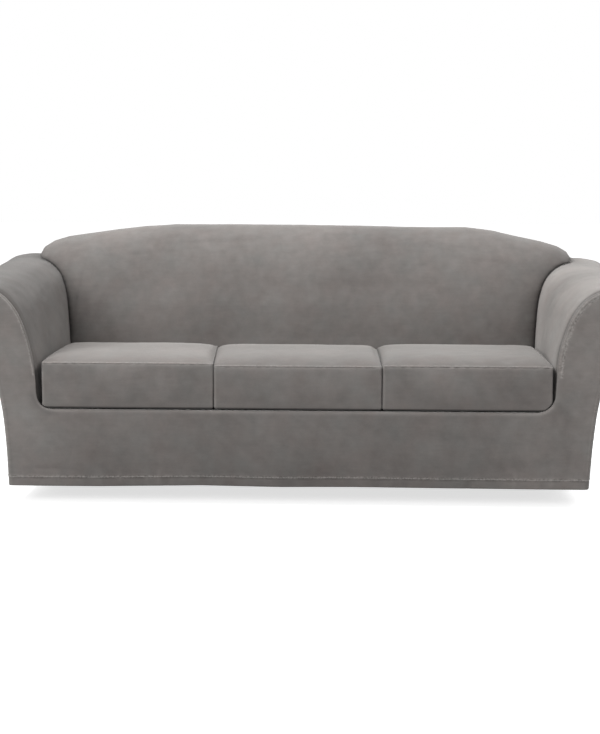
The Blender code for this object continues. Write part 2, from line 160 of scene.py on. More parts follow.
def pale_floor():
    """A plain pale floor, wide enough to have no edge in the picture."""
    edge, low = FLOOR_HALF_WIDTH, -HELD_AT[2]
    corners = [(-edge, -edge, low), (edge, -edge, low), (edge, edge, low), (-edge, edge, low)]
    data = bpy.data.meshes.new("floor")
    data.from_pydata(corners, [], [(0, 1, 2, 3)])
    floor = add_object("floor", data)
    pale = bpy.data.materials.new("pale_floor")
    pale.use_nodes = True
    nodes = pale.node_tree.nodes
    seen, lit = nodes["Principled BSDF"], nodes.new("ShaderNodeBsdfDiffuse")
    seen.inputs["Base Color"].default_value = (0.9, 0.9, 0.9, 1)
    seen.inputs["Roughness"].default_value = 1.0
    seen.inputs["Specular IOR Level"].default_value = 0.0
    seen.inputs["Emission Color"].default_value = (1, 1, 1, 1)
    seen.inputs["Emission Strength"].default_value = FLOOR_GLOW
    lit.inputs["Color"].default_value = (FLOOR_BOUNCE, FLOOR_BOUNCE, FLOOR_BOUNCE, 1)
    two_ways(pale.node_tree, seen, lit, nodes["Material Output"])
    data.materials.append(pale)


def light_the_room():
    """Soft lamps round the seat."""
    for lamp in LAMPS:
        data = bpy.data.lights.new(lamp.name, "AREA")
        data.size = lamp.size
        data.energy = lamp.power
        light = add_object(lamp.name, data)
        light.location = Vector(lamp.at) - Vector(HELD_AT)
        aim = Vector(AIMED_AT) - Vector(lamp.at)
        light.rotation_euler = aim.to_track_quat("-Z", "Y").to_euler()


white_room()
pale_floor()
light_the_room()
bpy.context.scene.view_settings.view_transform = "Standard"
print("lamps:", ", ".join(lamp.name for lamp in LAMPS))

# %% [markdown]
# ## The lines that the cover is cut to
#
# A sewer thinks in seam lines. Each arm has one at the front and one at the back, and the sleeve
# is stretched between them. The front two were pulled unevenly, so left and right have columns
# of their own. The tables are those of the solids; a few places were moved by a few millimetres
# after the cloth was looked at.

# %% Seam tables
ArmRow = namedtuple("ArmRow", "left_x right_x front_z back_x back_z")
ARM_ROWS = [
    ArmRow(0.859, 0.844, DECK_Z + SEAM_GAP, 0.852, DECK_Z + SEAM_GAP),
    ArmRow(0.861, 0.845, 0.420, 0.853, 0.460),
    ArmRow(0.874, 0.851, 0.505, 0.861, 0.600),
    ArmRow(0.893, 0.869, 0.575, 0.870, 0.685),
    ArmRow(0.919, 0.894, 0.635, 0.896, 0.745),
    ArmRow(0.959, 0.935, 0.686, 0.940, 0.774),
    ArmRow(1.006, 0.985, 0.713, 0.992, 0.780),
    ArmRow(1.060, 1.050, 0.718, 1.050, 0.780),
    ArmRow(1.110, 1.108, 0.700, 1.112, 0.764),
    ArmRow(1.138, 1.138, 0.655, 1.147, 0.715),
    ArmRow(1.118, 1.118, 0.603, 1.132, 0.655),
    ArmRow(1.070, 1.070, 0.552, 1.085, 0.592),
    ArmRow(1.026, 1.028, 0.490, 1.036, 0.515),
    ArmRow(0.996, 1.000, 0.420, 1.003, 0.435),
    ArmRow(0.974, 0.979, 0.320, 0.979, 0.325),
    ArmRow(0.962, 0.966, 0.200, 0.964, 0.200),
    ArmRow(0.956, 0.957, HEM_Z, 0.955, HEM_Z),
]
ARM_LIFT = {LEFT: 0.001, RIGHT: -0.008}  # how far each arm's back end is off the common line
ARM_LIFT_FROM_Z, ARM_LIFT_HEIGHT = 0.600, 0.150

HemRow = namedtuple("HemRow", "x z")
HEM_ROWS = [
    HemRow(-1.00, 0.0595),
    HemRow(-0.65, 0.0600),
    HemRow(-0.50, 0.0630),
    HemRow(-0.32, 0.0665),
    HemRow(-0.05, 0.0630),
    HemRow(0.18, 0.0655),
    HemRow(0.50, 0.0640),
    HemRow(1.00, 0.0632),
]

BackRow = namedtuple("BackRow", "y z")
BACK_ROWS = [
    BackRow(0.545, DECK_Z + SEAM_GAP),
    BackRow(0.546, 0.440),
    BackRow(0.556, 0.540),
    BackRow(0.580, 0.640),
    BackRow(0.612, 0.730),
    BackRow(0.652, 0.808),
    BackRow(0.698, 0.863),
    BackRow(0.748, 0.892),
    BackRow(0.795, TOP_Z),
    BackRow(0.835, 0.894),
    BackRow(DEPTH - SEAM_GAP, 0.871),
]

TopRow = namedtuple("TopRow", "x left_z right_z")
TOP_ROWS = [
    TopRow(0.000, TOP_Z, TOP_Z),
    TopRow(0.300, 0.9025, 0.8975),
    TopRow(0.480, 0.9020, 0.8940),
    TopRow(0.600, 0.8930, 0.8945),
    TopRow(0.700, 0.8820, 0.8825),
    TopRow(0.810, 0.8665, 0.8590),
    TopRow(0.890, 0.8550, 0.8425),
    TopRow(0.945, 0.8390, 0.8255),
    TopRow(0.980, 0.8165, 0.8060),
    TopRow(1.000, 0.7800, 0.7720),
    TopRow(1.020, 0.7350, 0.7300),
]
SHOULDER_START_Z = 0.66  # the back's face is level below this, and drops to its shoulders above
BACK_CROWN = 0.010  # how far the middle of the back's face swells forward
BACK_OVERLAP = 0.030  # how far inside the back's edge a sleeve is still whole
BACK_TUCK = 0.034  # how far a sleeve's inner edge runs on behind the back's face
BACK_ROLL = 0.015  # how far the back rolls in where it meets the arms
CORNER_X = 0.065  # rounded inside corner between arm front and rail
CORNER_Z = {LEFT: 0.088, RIGHT: 0.068}
CORNER_SHARP = {LEFT: 3.2, RIGHT: 2.2}  # 2 is an ellipse, more is squarer


def column(table, name):
    """One column of a table, as numbers."""
    return np.array([getattr(row, name) for row in table])


print(len(ARM_ROWS), "places round each arm,", len(BACK_ROWS), "up the back")

# %% [markdown]
# ## Smooth lines through a few places
#
# Stretch cloth never shows the corners of a table, so each line is a smooth curve through its
# places. Hermite curves do that with four short terms. The points are then spaced out again,
# closer together where the line turns, because that is where flat faces would be seen.

# %% Curves
TURN_WEIGHT = 0.12  # a radian's turn gets as many steps as this length of straight line


def smooth(rows, fine=12):
    """A dense smooth line through the rows of an array."""
    rows = np.asarray(rows, float)
    steps = np.linalg.norm(np.diff(rows, axis=0), axis=1)
    along = np.r_[0, np.cumsum(steps)]
    before = np.maximum(np.arange(len(rows)) - 1, 0)
    after = np.minimum(np.arange(len(rows)) + 1, len(rows) - 1)
    slopes = (rows[after] - rows[before]) / (along[after] - along[before])[:, None]
    t = (np.arange(fine) / fine)[:, None]
    line = []
    for i, step in enumerate(steps):
        line.append(
            rows[i] * (2 * t**3 - 3 * t**2 + 1)
            + slopes[i] * step * (t**3 - 2 * t**2 + t)
            + rows[i + 1] * (3 * t**2 - 2 * t**3)
            + slopes[i + 1] * step * (t**3 - t**2)
        )
    return np.vstack(line + [rows[-1:]])


def evenly(line, count):
    """count + 1 places along a flat line, closer together where it turns."""
    step = np.diff(line, axis=0)
    heading = np.unwrap(np.arctan2(step[:, 1], step[:, 0]))
    turn = np.abs(np.diff(heading, prepend=heading[0]))
    weight = np.linalg.norm(step, axis=1) + TURN_WEIGHT * turn
    along = np.r_[0, np.cumsum(weight)]
    wanted = np.linspace(0, along[-1], count + 1)
    return np.column_stack([np.interp(wanted, along, axis) for axis in line.T])


def length_along(line):
    """How far along a line each of its places is."""
    return np.r_[0, np.cumsum(np.linalg.norm(np.diff(line, axis=0), axis=1))]


def hem_line(x):
    """Height of the front hem's lower edge."""
    return np.interp(x, column(HEM_ROWS, "x"), column(HEM_ROWS, "z"))


def fullness(y):
    """0 at a sleeve's seams, and 1 where its padding swells it fully."""
    front = 1 - math.exp(-max(y - FRONT_SEAM_Y, 0) / ROLL_LENGTH)
    back = 1 - math.exp(-max(DEPTH - y, 0) / ROLL_LENGTH)
    return front * back


def arm_line(side, y, count):
    """An arm's section at depth y, as (outwards, up), from the deck over the roll to the hem."""
    front_x = column(ARM_ROWS, "left_x" if side == LEFT else "right_x")
    back_z = column(ARM_ROWS, "back_z")
    lift = ARM_LIFT[side] * np.clip((back_z - ARM_LIFT_FROM_Z) / ARM_LIFT_HEIGHT, 0, 1)
    front = np.column_stack([front_x, column(ARM_ROWS, "front_z")])
    back = np.column_stack([column(ARM_ROWS, "back_x"), back_z + lift])
    line = evenly(smooth(front + (back - front) * y / DEPTH), count)
    along = np.gradient(line, axis=0)
    normal = np.column_stack([-along[:, 1], along[:, 0]])
    normal /= np.linalg.norm(normal, axis=1)[:, None]
    line += normal * SEAM_ROLL * fullness(y)
    line[0, 1] = ARM_ROWS[0].front_z
    line[-1, 1] = hem_line(side) + (HEM_Z - hem_line(side)) * y / DEPTH
    return line


print("an arm is %.2f m round" % length_along(arm_line(LEFT, 0.4, 200))[-1])

# %% [markdown]
# ## From a grid of places to a piece of cloth
#
# Every panel is made the same way: a grid of places on its surface, then a small height that is
# added along the normal, then two millimetres of thickness with Solidify. Working on whole
# arrays keeps it quick, and one height function can be looked at on its own. The height is also
# kept on the mesh as an attribute, in millimetres, and the plush paints it into the colour: paler
# on ridges, as rubbed pile and painted highlight, and darker in grooves, as painted shade. Where
# two panels press together more painted shade is added to it, since little light gets in there.
# A second attribute is painted light and shade alone: soft spots that make a panel paler where
# the lamps light it and darker where they don't. A third marks the stitches' rows, for pale
# specks beside them that are painted highlights, and is filled in when they are sewn.

# %% Grids and meshes
SAME_PLACE = 2e-5  # vertices closer than this are one
pieces = {}


def grid_of(x, y, z):
    """A grid of places from their three coordinates."""
    return np.stack(np.broadcast_arrays(x, y, z), axis=-1)


def normals_of(grid, inside):
    """Unit normals of a grid of places, pointing away from a place inside."""
    normal = np.cross(np.gradient(grid, axis=0), np.gradient(grid, axis=1))
    size = np.linalg.norm(normal, axis=2, keepdims=True)
    normal /= np.maximum(size, 1e-12)
    away = np.sum(normal * (grid - np.asarray(inside)))
    return normal if away > 0 else -normal


def raised(grid, relief, inside, ring=False):
    """A grid whose relief is added along its normals; a ring's ends meet."""
    around = np.concatenate([grid[:, -1:], grid, grid[:, :1]], axis=1) if ring else grid
    normal = normals_of(around, inside)
    return grid + (normal[:, 1:-1] if ring else normal) * relief[..., None]


# Painted light and shade: each spot makes part of a panel paler or darker, where the lamps light
# it more or less.
PaintedLightSpot = namedtuple("PaintedLightSpot", "x z width height amount")
PAINTED_LIGHT_SPOTS = {
    "front_panel": [
        PaintedLightSpot(-1.02, 0.45, 0.22, 0.60, 0.20),
        PaintedLightSpot(1.00, 0.45, 0.26, 0.60, 0.28),
        PaintedLightSpot(-0.30, 0.10, 0.80, 0.10, -0.19),
    ],
    "sleeve_left": [
        PaintedLightSpot(-1.10, 0.76, 0.26, 0.12, -0.54),
        PaintedLightSpot(-0.87, 0.60, 0.12, 0.25, -0.10),
    ],
    "sleeve_right": [
        PaintedLightSpot(1.08, 0.74, 0.25, 0.12, 0.40),
        PaintedLightSpot(0.88, 0.60, 0.14, 0.25, 0.30),
    ],
    "inside_back": [
        PaintedLightSpot(-0.60, 0.88, 0.70, 0.10, 0.20),
        PaintedLightSpot(0.60, 0.88, 0.70, 0.10, 0.14),
        PaintedLightSpot(0.10, 0.52, 0.90, 0.10, -0.05),
    ],
    "cushion_left_top": [PaintedLightSpot(-0.50, 0.50, 0.30, 0.20, 0.18)],
}


def painted_light_at(grid, spots):
    """How much paler or darker each place is painted, as painted light and shade."""
    total = np.zeros(grid.shape[:-1])
    for spot in spots:
        across = (grid[..., 0] - spot.x) / spot.width
        up = (grid[..., 2] - spot.z) / spot.height
        total += spot.amount * np.exp(-(across**2) - up**2)
    return total


def cloth_mesh(name, patches, spots, ring):
    """A mesh from patches, each a grid of places and its heights; a ring's ends are joined."""
    places, faces, relief, painted_light = [], [], [], []
    for grid, height in patches:
        start = sum(len(p) for p in places)
        rows, columns = grid.shape[:2]
        index = start + np.arange(rows * columns).reshape(rows, columns)
        right = np.roll(index, -1, axis=1)
        last = columns if ring else columns - 1
        quads = np.stack([index[:-1], right[:-1], right[1:], index[1:]], axis=2)[:, :last]
        places.append(grid.reshape(-1, 3) - HELD_AT)
        # Heights in millimetres, including the painted shade that some grids add in joints and
        # grooves.
        relief.append(np.ravel(height) * 1000)
        painted_light.append(np.ravel(painted_light_at(grid, spots)))
        faces.append(quads.reshape(-1, 4))
    mesh = bpy.data.meshes.new(name)
    mesh.from_pydata(np.vstack(places).tolist(), [], np.vstack(faces).tolist())
    stitched = [np.zeros(len(p)) for p in places]
    for layer_name, values in (("relief", relief), ("painted_light", painted_light), ("stitched", stitched)):
        layer = mesh.attributes.new(layer_name, "FLOAT", "POINT")
        layer.data.foreach_set("value", np.concatenate(values).astype(np.float32))
    return mesh


def finish_panel(name, patches, inside, size, material, ring=False):
    """Turns patches into a panel for the solid of that name; size is measured along the cloth."""
    mesh = cloth_mesh(name + "_cloth", patches, PAINTED_LIGHT_SPOTS.get(name, []), ring)
    shape = bmesh.new()
    shape.from_mesh(mesh)
    bmesh.ops.remove_doubles(shape, verts=shape.verts, dist=SAME_PLACE)
    bmesh.ops.recalc_face_normals(shape, faces=shape.faces)
    centre = Vector(np.asarray(inside) - HELD_AT)
    faces = shape.faces
    facing = sum(f.normal.dot(f.calc_center_median() - centre) * f.calc_area() for f in faces)
    if facing < 0:
        bmesh.ops.reverse_faces(shape, faces=faces)
    area = sum(f.calc_area() for f in faces)
    shape.to_mesh(mesh)
    shape.free()
    mesh.shade_smooth()
    mesh.materials.append(material)
    piece = add_object(name + "_cloth", mesh)
    wall = piece.modifiers.new("thickness", "SOLIDIFY")
    wall.thickness = CLOTH
    wall.offset = -1
    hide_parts(name)
    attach(piece, "root")
    pieces[name] = (piece, size, area)
    print("%-24s %6d faces, %.3f square metres" % (name, len(mesh.polygons), area))


# %% [markdown]
# ## What a stitched seam does to plush
#
# Stretch plush is sewn under tension. Beside the seam it stands up as a soft ridge about seven
# millimetres away, gathered unevenly, and the row of topstitching pulls a groove beyond it. A
# wave made of a few sines of unlike lengths gives the gathers: it never repeats in sight, it is
# smooth, and a fixed seed makes it the same each time. Between the seams, cloth over soft padding
# has long low swells with smaller ones on them.

# %% Relief helpers
WAVER_WAVES, WAVER_PEAK = 6, 2.6  # how many sines, and the height that their sum rarely passes
BILLOW_WAVES, BILLOW_PEAK = 9, 3.0


def waver(s, wavelength, seed):
    """A smooth uneven wave along a line, mostly between -1 and 1."""
    dice = np.random.default_rng(seed)
    total = np.zeros_like(s, float)
    for _ in range(WAVER_WAVES):
        stretch, phase = dice.uniform(0.62, 1.6), dice.uniform(0, 2 * math.pi)
        total += np.sin(2 * math.pi * s / (wavelength * stretch) + phase)
    return total / WAVER_PEAK


def billow(grid, wavelength, seed):
    """The same in space: a soft swell over places in three dimensions."""
    dice = np.random.default_rng(seed)
    total = np.zeros(grid.shape[:-1])
    for _ in range(BILLOW_WAVES):
        way = dice.normal(size=3)
        way /= np.linalg.norm(way)
        stretch, phase = dice.uniform(0.6, 1.7), dice.uniform(0, 2 * math.pi)
        total += np.sin(2 * math.pi * grid @ way / (wavelength * stretch) + phase)
    return total / BILLOW_PEAK


def swells(grid, high, long, low, short, seed):
    """Long swells and small ones, as cloth has that isn't held nearby."""
    return high * billow(grid, long, seed) + low * billow(grid, short, seed + 1)


def hump(distance, centre, width):
    """A soft bump of height 1 at a distance."""
    return np.exp(-(((distance - centre) / width) ** 2))


def step_up(value, low, high):
    """0 below low, 1 above high, and smooth between."""
    t = np.clip((value - low) / (high - low), 0, 1)
    return t * t * (3 - 2 * t)


def from_line(places, line):
    """Distance of flat places from a flat line, and how far along it the nearest place is."""
    flat = places.reshape(-1, 2)
    along = length_along(line)
    best, at = np.full(len(flat), np.inf), np.zeros(len(flat))
    for a, b, start, end in zip(line, line[1:], along, along[1:]):
        way = b - a
        t = np.clip((flat - a) @ way / max(way @ way, 1e-12), 0, 1)
        gap = np.linalg.norm(flat - a - t[:, None] * way, axis=1)
        nearer = gap < best
        best[nearer] = gap[nearer]
        at[nearer] = (start + t * (end - start))[nearer]
    return best.reshape(places.shape[:-1]), at.reshape(places.shape[:-1])


STITCH_IN = {LEFT: 0.006, RIGHT: 0.0145}  # topstitching's distance from the arm seams
RIDGE_IN, RIDGE_WIDTH = 0.0065, 0.0045  # the gathered ridge's distance from them, and its width
GROOVE_WIDTH = 0.0028
GATHERS, PULLS = 0.014, 0.034  # wavelengths along an arm seam
PULL_HEIGHT, PULL_FADE = 0.0007, 0.022  # the pulls, and how fast they fade away from the seam
HEM_RIDGE, HEM_RIDGE_WIDTH = 0.0007, 0.0024
HEM_GROOVE, HEM_GROOVE_WIDTH = 0.0013, 0.0026
HEM_GROOVE_DOWN = 0.0050  # the hem's groove is this far below its stitching
PINCHES, TUCKS = 0.075, 0.110  # wavelengths along the hem
TUCK_DEPTH = 0.0020


def seam_relief(distance, along, seed, ridge=0.0019, groove=0.0011):
    """Height beside a topstitched seam: gathered ridge, groove, and short pulls beyond."""
    gather = 0.70 + 0.55 * waver(along, GATHERS, seed)
    height = ridge * gather * hump(distance, RIDGE_IN, RIDGE_WIDTH)
    height -= groove * hump(distance, STITCH_IN[RIGHT], GROOVE_WIDTH)
    pull = PULL_HEIGHT * waver(along, PULLS, seed + 1) * np.exp(-distance / PULL_FADE)
    return height + pull * step_up(distance, 0.001, 0.012)


def hem_relief(up, along, seed):
    """Height near the lower edge: a row of stitching over a groove, and a doubled band below."""
    pinch = 1 + 0.5 * waver(along, PINCHES, seed)
    height = HEM_RIDGE * pinch * hump(up, HEM_HEIGHT, HEM_RIDGE_WIDTH)
    height -= HEM_GROOVE * pinch * hump(up, HEM_HEIGHT - HEM_GROOVE_DOWN, HEM_GROOVE_WIDTH)
    tuck = np.maximum(waver(along, TUCKS, seed + 7) - 0.8, 0)  # only the highest waves
    return height - TUCK_DEPTH * tuck * step_up(HEM_HEIGHT - up, 0.002, 0.008)


Crease = namedtuple("Crease", "a b angle length width depth")


def creases(a, b, table):
    """Heights of single soft creases, placed on a panel's own flat axes."""
    total = np.zeros(np.broadcast(a, b).shape)
    for c in table:
        turn = math.radians(c.angle)
        ahead = (a - c.a) * math.cos(turn) + (b - c.b) * math.sin(turn)
        aside = (b - c.b) * math.cos(turn) - (a - c.a) * math.sin(turn)
        total -= c.depth * np.exp(-((ahead / c.length * 2) ** 2) - (aside / c.width * 2) ** 2)
    return total


def contour(grid, level_of, level):
    """The place on each line of a grid at which a value reaches a level."""
    line = []
    for places, values in zip(grid, level_of):
        crossed = np.nonzero((values[:-1] - level) * (values[1:] - level) <= 0)[0]
        if len(crossed):
            k = crossed[0]
            gap = values[k + 1] - values[k]
            share = (level - values[k]) / gap if abs(gap) > 1e-12 else 0
            line.append(places[k] + (places[k + 1] - places[k]) * share)
    return np.array(line)


print("gathers range over %.1f waves" % np.ptp(waver(np.linspace(0, 1, 500), 0.02, 3)))

# %% [markdown]
# ## The plush itself
#
# Plush is knitted, then cut and brushed to a short pile. Seen square on it swallows light; seen
# along the surface the fibre tips catch it, so a sheen lobe does most of the work. The colour is
# a taupe-grey that drifts a little warm and cool, with streaks where a hand brushed the pile.
#
# To keep the node maths readable, one small class wraps a socket and overloads the operators, so
# that `1 + 0.2 * (mottle - 0.5)` adds its Math nodes by itself. It works in any node tree, and
# the stitches' Geometry Nodes use it too. Colours go through Mix and Vector Math nodes, since a
# Math node would turn them grey.


# %% Node maths as Python
class Link:
    """An output socket that Python's arithmetic works on."""

    def __init__(self, graph, socket):
        self.graph, self.socket = graph, socket

    def _math(self, operation, first, second):
        return self.graph.node("ShaderNodeMath", {"operation": operation}, {0: first, 1: second})

    def __add__(self, other):
        return self._math("ADD", self, other)

    __radd__ = __add__

    def __sub__(self, other):
        return self._math("SUBTRACT", self, other)

    def __rsub__(self, other):
        return self._math("SUBTRACT", other, self)

    def __mul__(self, other):
        return self._math("MULTIPLY", self, other)

    __rmul__ = __mul__


class Graph:
    """A node tree whose nodes are made one call at a time."""

    def __init__(self, tree):
        self.tree = tree

    def node(self, kind, settings=None, inputs=None, output=0):
        """Any node, from its type, its settings and its sockets' values or links."""
        node = self.tree.nodes.new(kind)
        for key, value in (settings or {}).items():
            setattr(node, key, value)
        for key, value in (inputs or {}).items():
            self.feed(node.inputs[key], value)
        return Link(self, node.outputs[output])

    def feed(self, socket, value):
        """A value or a link into a socket."""
        if isinstance(value, Link):
            self.tree.links.new(value.socket, socket)
        else:
            socket.default_value = value


class Finish(Graph):
    """A material, with the nodes that cloth and thread need."""

    def __init__(self, name):
        self.material = bpy.data.materials.new(name)
        self.material.use_nodes = True
        super().__init__(self.material.node_tree)
        self.shader = self.tree.nodes["Principled BSDF"]

    def noise(self, where, scale, detail, roughness=0.5):
        """Soft noise from 0 to 1."""
        return self.node(
            "ShaderNodeTexNoise",
            {"noise_dimensions": "3D"},
            {"Vector": where, "Scale": scale, "Detail": detail, "Roughness": roughness},
            "Fac",
        )

    def moved(self, where, offset, scale=(1, 1, 1)):
        """Coordinates that are shifted and stretched."""
        return self.node(
            "ShaderNodeMapping", None, {"Vector": where, "Location": offset, "Scale": scale}
        )

    def mix(self, share, first, second):
        """A blend of two colours."""
        values = {"Factor": share, 6: first, 7: second}
        return self.node("ShaderNodeMix", {"data_type": "RGBA"}, values, 2)

    def attribute(self, name):
        """A number that is kept on the mesh."""
        return self.node("ShaderNodeAttribute", {"attribute_name": name}, output="Fac")

    def dimmed(self, colour, strength):
        """A colour times a number."""
        values = {0: colour, "Scale": strength}
        return self.node("ShaderNodeVectorMath", {"operation": "SCALE"}, values)


# %% [markdown]
# The brushed plush is one function, so that every panel is of one cloth. An offset moves its
# patches, because no two panels are cut from the same place of the roll.

# %% The plush and its thread
WARM_TAUPE = (0.219, 0.190, 0.178, 1)
COOL_TAUPE = (0.186, 0.185, 0.178, 1)
THREAD_COLOUR = (0.66, 0.64, 0.61, 1)
SHEEN_TINT = (0.92, 0.90, 0.88, 1)
STREAKED = (5, 5, 34)  # the brushed streaks run level, so their pattern is squeezed upwards
DEEPEST, HIGHEST = -7.0, 2.0  # relief in millimetres past which the painted shade and paler ridges change no more


def plush(name, offset, tone=1.0):
    """Brushed stretch plush; offset moves its patches, and a tone below 1 is painted shade."""
    finish = Finish(name)
    here = finish.node("ShaderNodeTexCoord", output="Object")
    place = finish.moved(here, offset)
    drift = finish.noise(place, 2.6, 3.0, 0.6)
    patches = finish.noise(place, 11.0, 2.0, 0.55)
    mottle = finish.noise(place, 26.0, 3.0, 0.6)
    streaks = finish.noise(finish.moved(here, offset, STREAKED), 3.0, 4.0, 0.62)
    pile = finish.noise(place, 620.0, 2.0, 0.7)
    # The relief attribute paints ridges paler, as rubbed pile and painted highlight, and grooves
    # and joints darker, as painted shade.
    relief = finish.attribute("relief")
    rubbed_and_painted_light = finish.node("ShaderNodeMath", {"operation": "MINIMUM"}, {0: relief, 1: HIGHEST})
    rubbed_and_painted_light = finish.node("ShaderNodeMath", {"operation": "MAXIMUM"}, {0: rubbed_and_painted_light, 1: DEEPEST})
    # The second attribute is painted light and shade, and the marks beside the stitches paint
    # pale specks as highlights.
    painted_light = finish.attribute("painted_light")
    stitched = finish.attribute("stitched")
    painted_highlight_specks = finish.noise(place, 150.0, 1.0)
    colour = finish.mix(patches, WARM_TAUPE, COOL_TAUPE)
    strength = (tone + painted_light) * (
        1
        + 0.08 * (drift - 0.5)
        + 0.18 * (patches - 0.5)
        + 0.36 * (mottle - 0.5)
        + 0.16 * (streaks - 0.5)
        + 0.30 * (pile - 0.5)
        + 0.10 * rubbed_and_painted_light
        + stitched * (2.6 * painted_highlight_specks - 0.95)
    )
    finish.feed(finish.shader.inputs["Base Color"], finish.dimmed(colour, strength))
    finish.feed(finish.shader.inputs["Roughness"], 0.82 + 0.12 * mottle)
    knit = finish.noise(place, 300.0, 3.0, 0.6)
    height = 0.6 * pile + 0.5 * knit + 0.9 * mottle
    bump = finish.node(
        "ShaderNodeBump", None, {"Strength": 0.35, "Distance": 0.0012, "Height": height}
    )
    finish.feed(finish.shader.inputs["Normal"], bump)
    for socket, value in (
        ("Specular IOR Level", 0.25),
        ("Sheen Weight", 0.55),
        ("Sheen Roughness", 0.42),
        ("Sheen Tint", SHEEN_TINT),
    ):
        finish.feed(finish.shader.inputs[socket], value)
    return finish.material


def thread(name):
    """Spun polyester sewing thread, a little lighter than the plush."""
    finish = Finish(name)
    here = finish.node("ShaderNodeTexCoord", output="Object")
    twist = finish.noise(here, 900.0, 1.0)
    colour = finish.mix(twist, THREAD_COLOUR, COOL_TAUPE)
    finish.feed(finish.shader.inputs["Base Color"], finish.dimmed(colour, 0.85 + 0.3 * twist))
    finish.feed(finish.shader.inputs["Roughness"], 0.5 + 0.2 * twist)
    return finish.material


FRONT_PLUSH = plush("front_plush", (0.0, 0.0, 0.0))
SLEEVE_PLUSH = plush("sleeve_plush", (3.1, 0.4, 1.7))
BACK_PLUSH = plush("back_plush", (1.3, 2.2, 0.6))
CUSHION_TOP_PLUSH = plush("cushion_top_plush", (0.7, 5.1, 2.9))
CUSHION_BAND_PLUSH = plush("cushion_band_plush", (4.4, 1.9, 3.3))
# The deck's plush is painted nearly black: painted shade for the slits between the cushions.
DECK_SHADE_PLUSH = plush("deck_painted_shade", (2.2, 3.0, 0.9), 0.12)
THREAD = thread("sewing_thread")
print("plush finishes:", len(bpy.data.materials))

# %% [markdown]
# ## Front panel
#
# The front panel is one flat U: both arm fronts and the rail between them. It is drawn in the
# plane as three patches of rows, from an outer line to an inner line, and then given depth by
# one rule: how far a place is from the nearest edge. Near an edge the cloth rolls back round the
# padding to meet the sleeve, along the seams it puckers, and along the foot it has the hem.

# %% Front panel
FRONT_CREASES = [
    Crease(-0.815, 0.120, 0, 0.17, 0.010, 0.0012),
    Crease(-0.20, 0.190, 2, 0.60, 0.050, 0.0006),
    Crease(0.45, 0.240, -3, 0.50, 0.045, 0.0006),
    Crease(0.74, 0.140, 5, 0.22, 0.030, 0.0007),
    Crease(-0.843, 0.330, -38, 0.10, 0.036, 0.0030),
    Crease(0.88, 0.310, -48, 0.12, 0.030, 0.0010),
    Crease(0.94, 0.550, -62, 0.18, 0.026, 0.0005),
]
HEM_TICKS = [
    Crease(-0.790, 0.088, 90, 0.050, 0.011, -0.0010),
    Crease(-0.650, 0.085, 88, 0.045, 0.010, -0.0009),
    Crease(-0.585, 0.090, 94, 0.055, 0.014, -0.0012),
    Crease(-0.497, 0.086, 90, 0.050, 0.010, -0.0010),
    Crease(-0.455, 0.090, 86, 0.060, 0.011, -0.0012),
    Crease(-0.105, 0.084, 90, 0.045, 0.010, -0.0007),
    Crease(0.310, 0.086, 92, 0.045, 0.010, -0.0008),
    Crease(0.715, 0.090, 90, 0.055, 0.012, -0.0012),
    Crease(0.835, 0.088, 87, 0.050, 0.012, -0.0010),
]
SEWN_FROM_Z = 0.430  # the arm seams show from here up, above the seat
ROLL_RADIUS = 0.014  # over how wide a strip the panel rolls back to its edge
ROLL_PAST = 0.0015  # how far its edge lies behind the swell of the padding
SEAT_EDGE_Z = 0.50  # below this, cushions lie against the opening and its edge rolls less
RAIL_HIGHLIGHT, RAIL_HIGHLIGHT_BELOW_Z = 0.0014, 0.345  # the rail's upper edge gets a painted highlight below this height
SEAM_PAINTED_SHADE = 0.0035  # extra shade down in the right arm's seam
FINE = 240  # steps along an arm's outline
CORNER_STEPS, RISING_STEPS = 20, 96  # rows of the rounded corner and of the arm above it
RAIL_STEPS = 300


def seam_halves(side):
    """The inner and outer halves of an arm's front seam, each from below up to its crest."""
    outline = arm_line(side, FRONT_SEAM_Y, FINE)
    crest = int(np.argmax(outline[:, 1]))
    return outline[: crest + 1], outline[crest:][::-1]


def seam_x(side, z):
    """How far out the inner seam is at a height."""
    inner, _ = seam_halves(side)
    return float(np.interp(z, inner[:, 1], inner[:, 0]))


def corner_line(side, count):
    """The rounded inside corner, from the rail up to where it meets the arm's seam."""
    top = DECK_Z + CORNER_Z[side]
    angle = np.linspace(0, math.pi / 2, count + 1)
    start = seam_x(side, top) - CORNER_X
    out = np.sin(angle) ** (2 / CORNER_SHARP[side])
    down = np.cos(angle) ** (2 / CORNER_SHARP[side])
    return np.column_stack([start + CORNER_X * out, top - CORNER_Z[side] * down])


def edge_spread(count, share=0.75):
    """Places from 0 to 1 that are closer together at both ends."""
    t = np.linspace(0, 1, count + 1)
    return t * (1 - share) + (0.5 - 0.5 * np.cos(math.pi * t)) * share


def front_edges():
    """The panel's edges in the plane: the opening from crest to crest, and both outer sides."""
    opening, outer = [], {}
    for side in (LEFT, RIGHT):
        inner, out = seam_halves(side)
        corner = corner_line(side, CORNER_STEPS)
        rising = np.vstack([corner, inner[inner[:, 1] > corner[-1, 1] + 0.001]])
        rising = rising * (side, 1)
        opening.append(rising[::-1] if side == LEFT else rising)
        outer[side] = out * (side, 1)
    return np.vstack(opening), outer


FRONT_OPENING, FRONT_OUTER = front_edges()


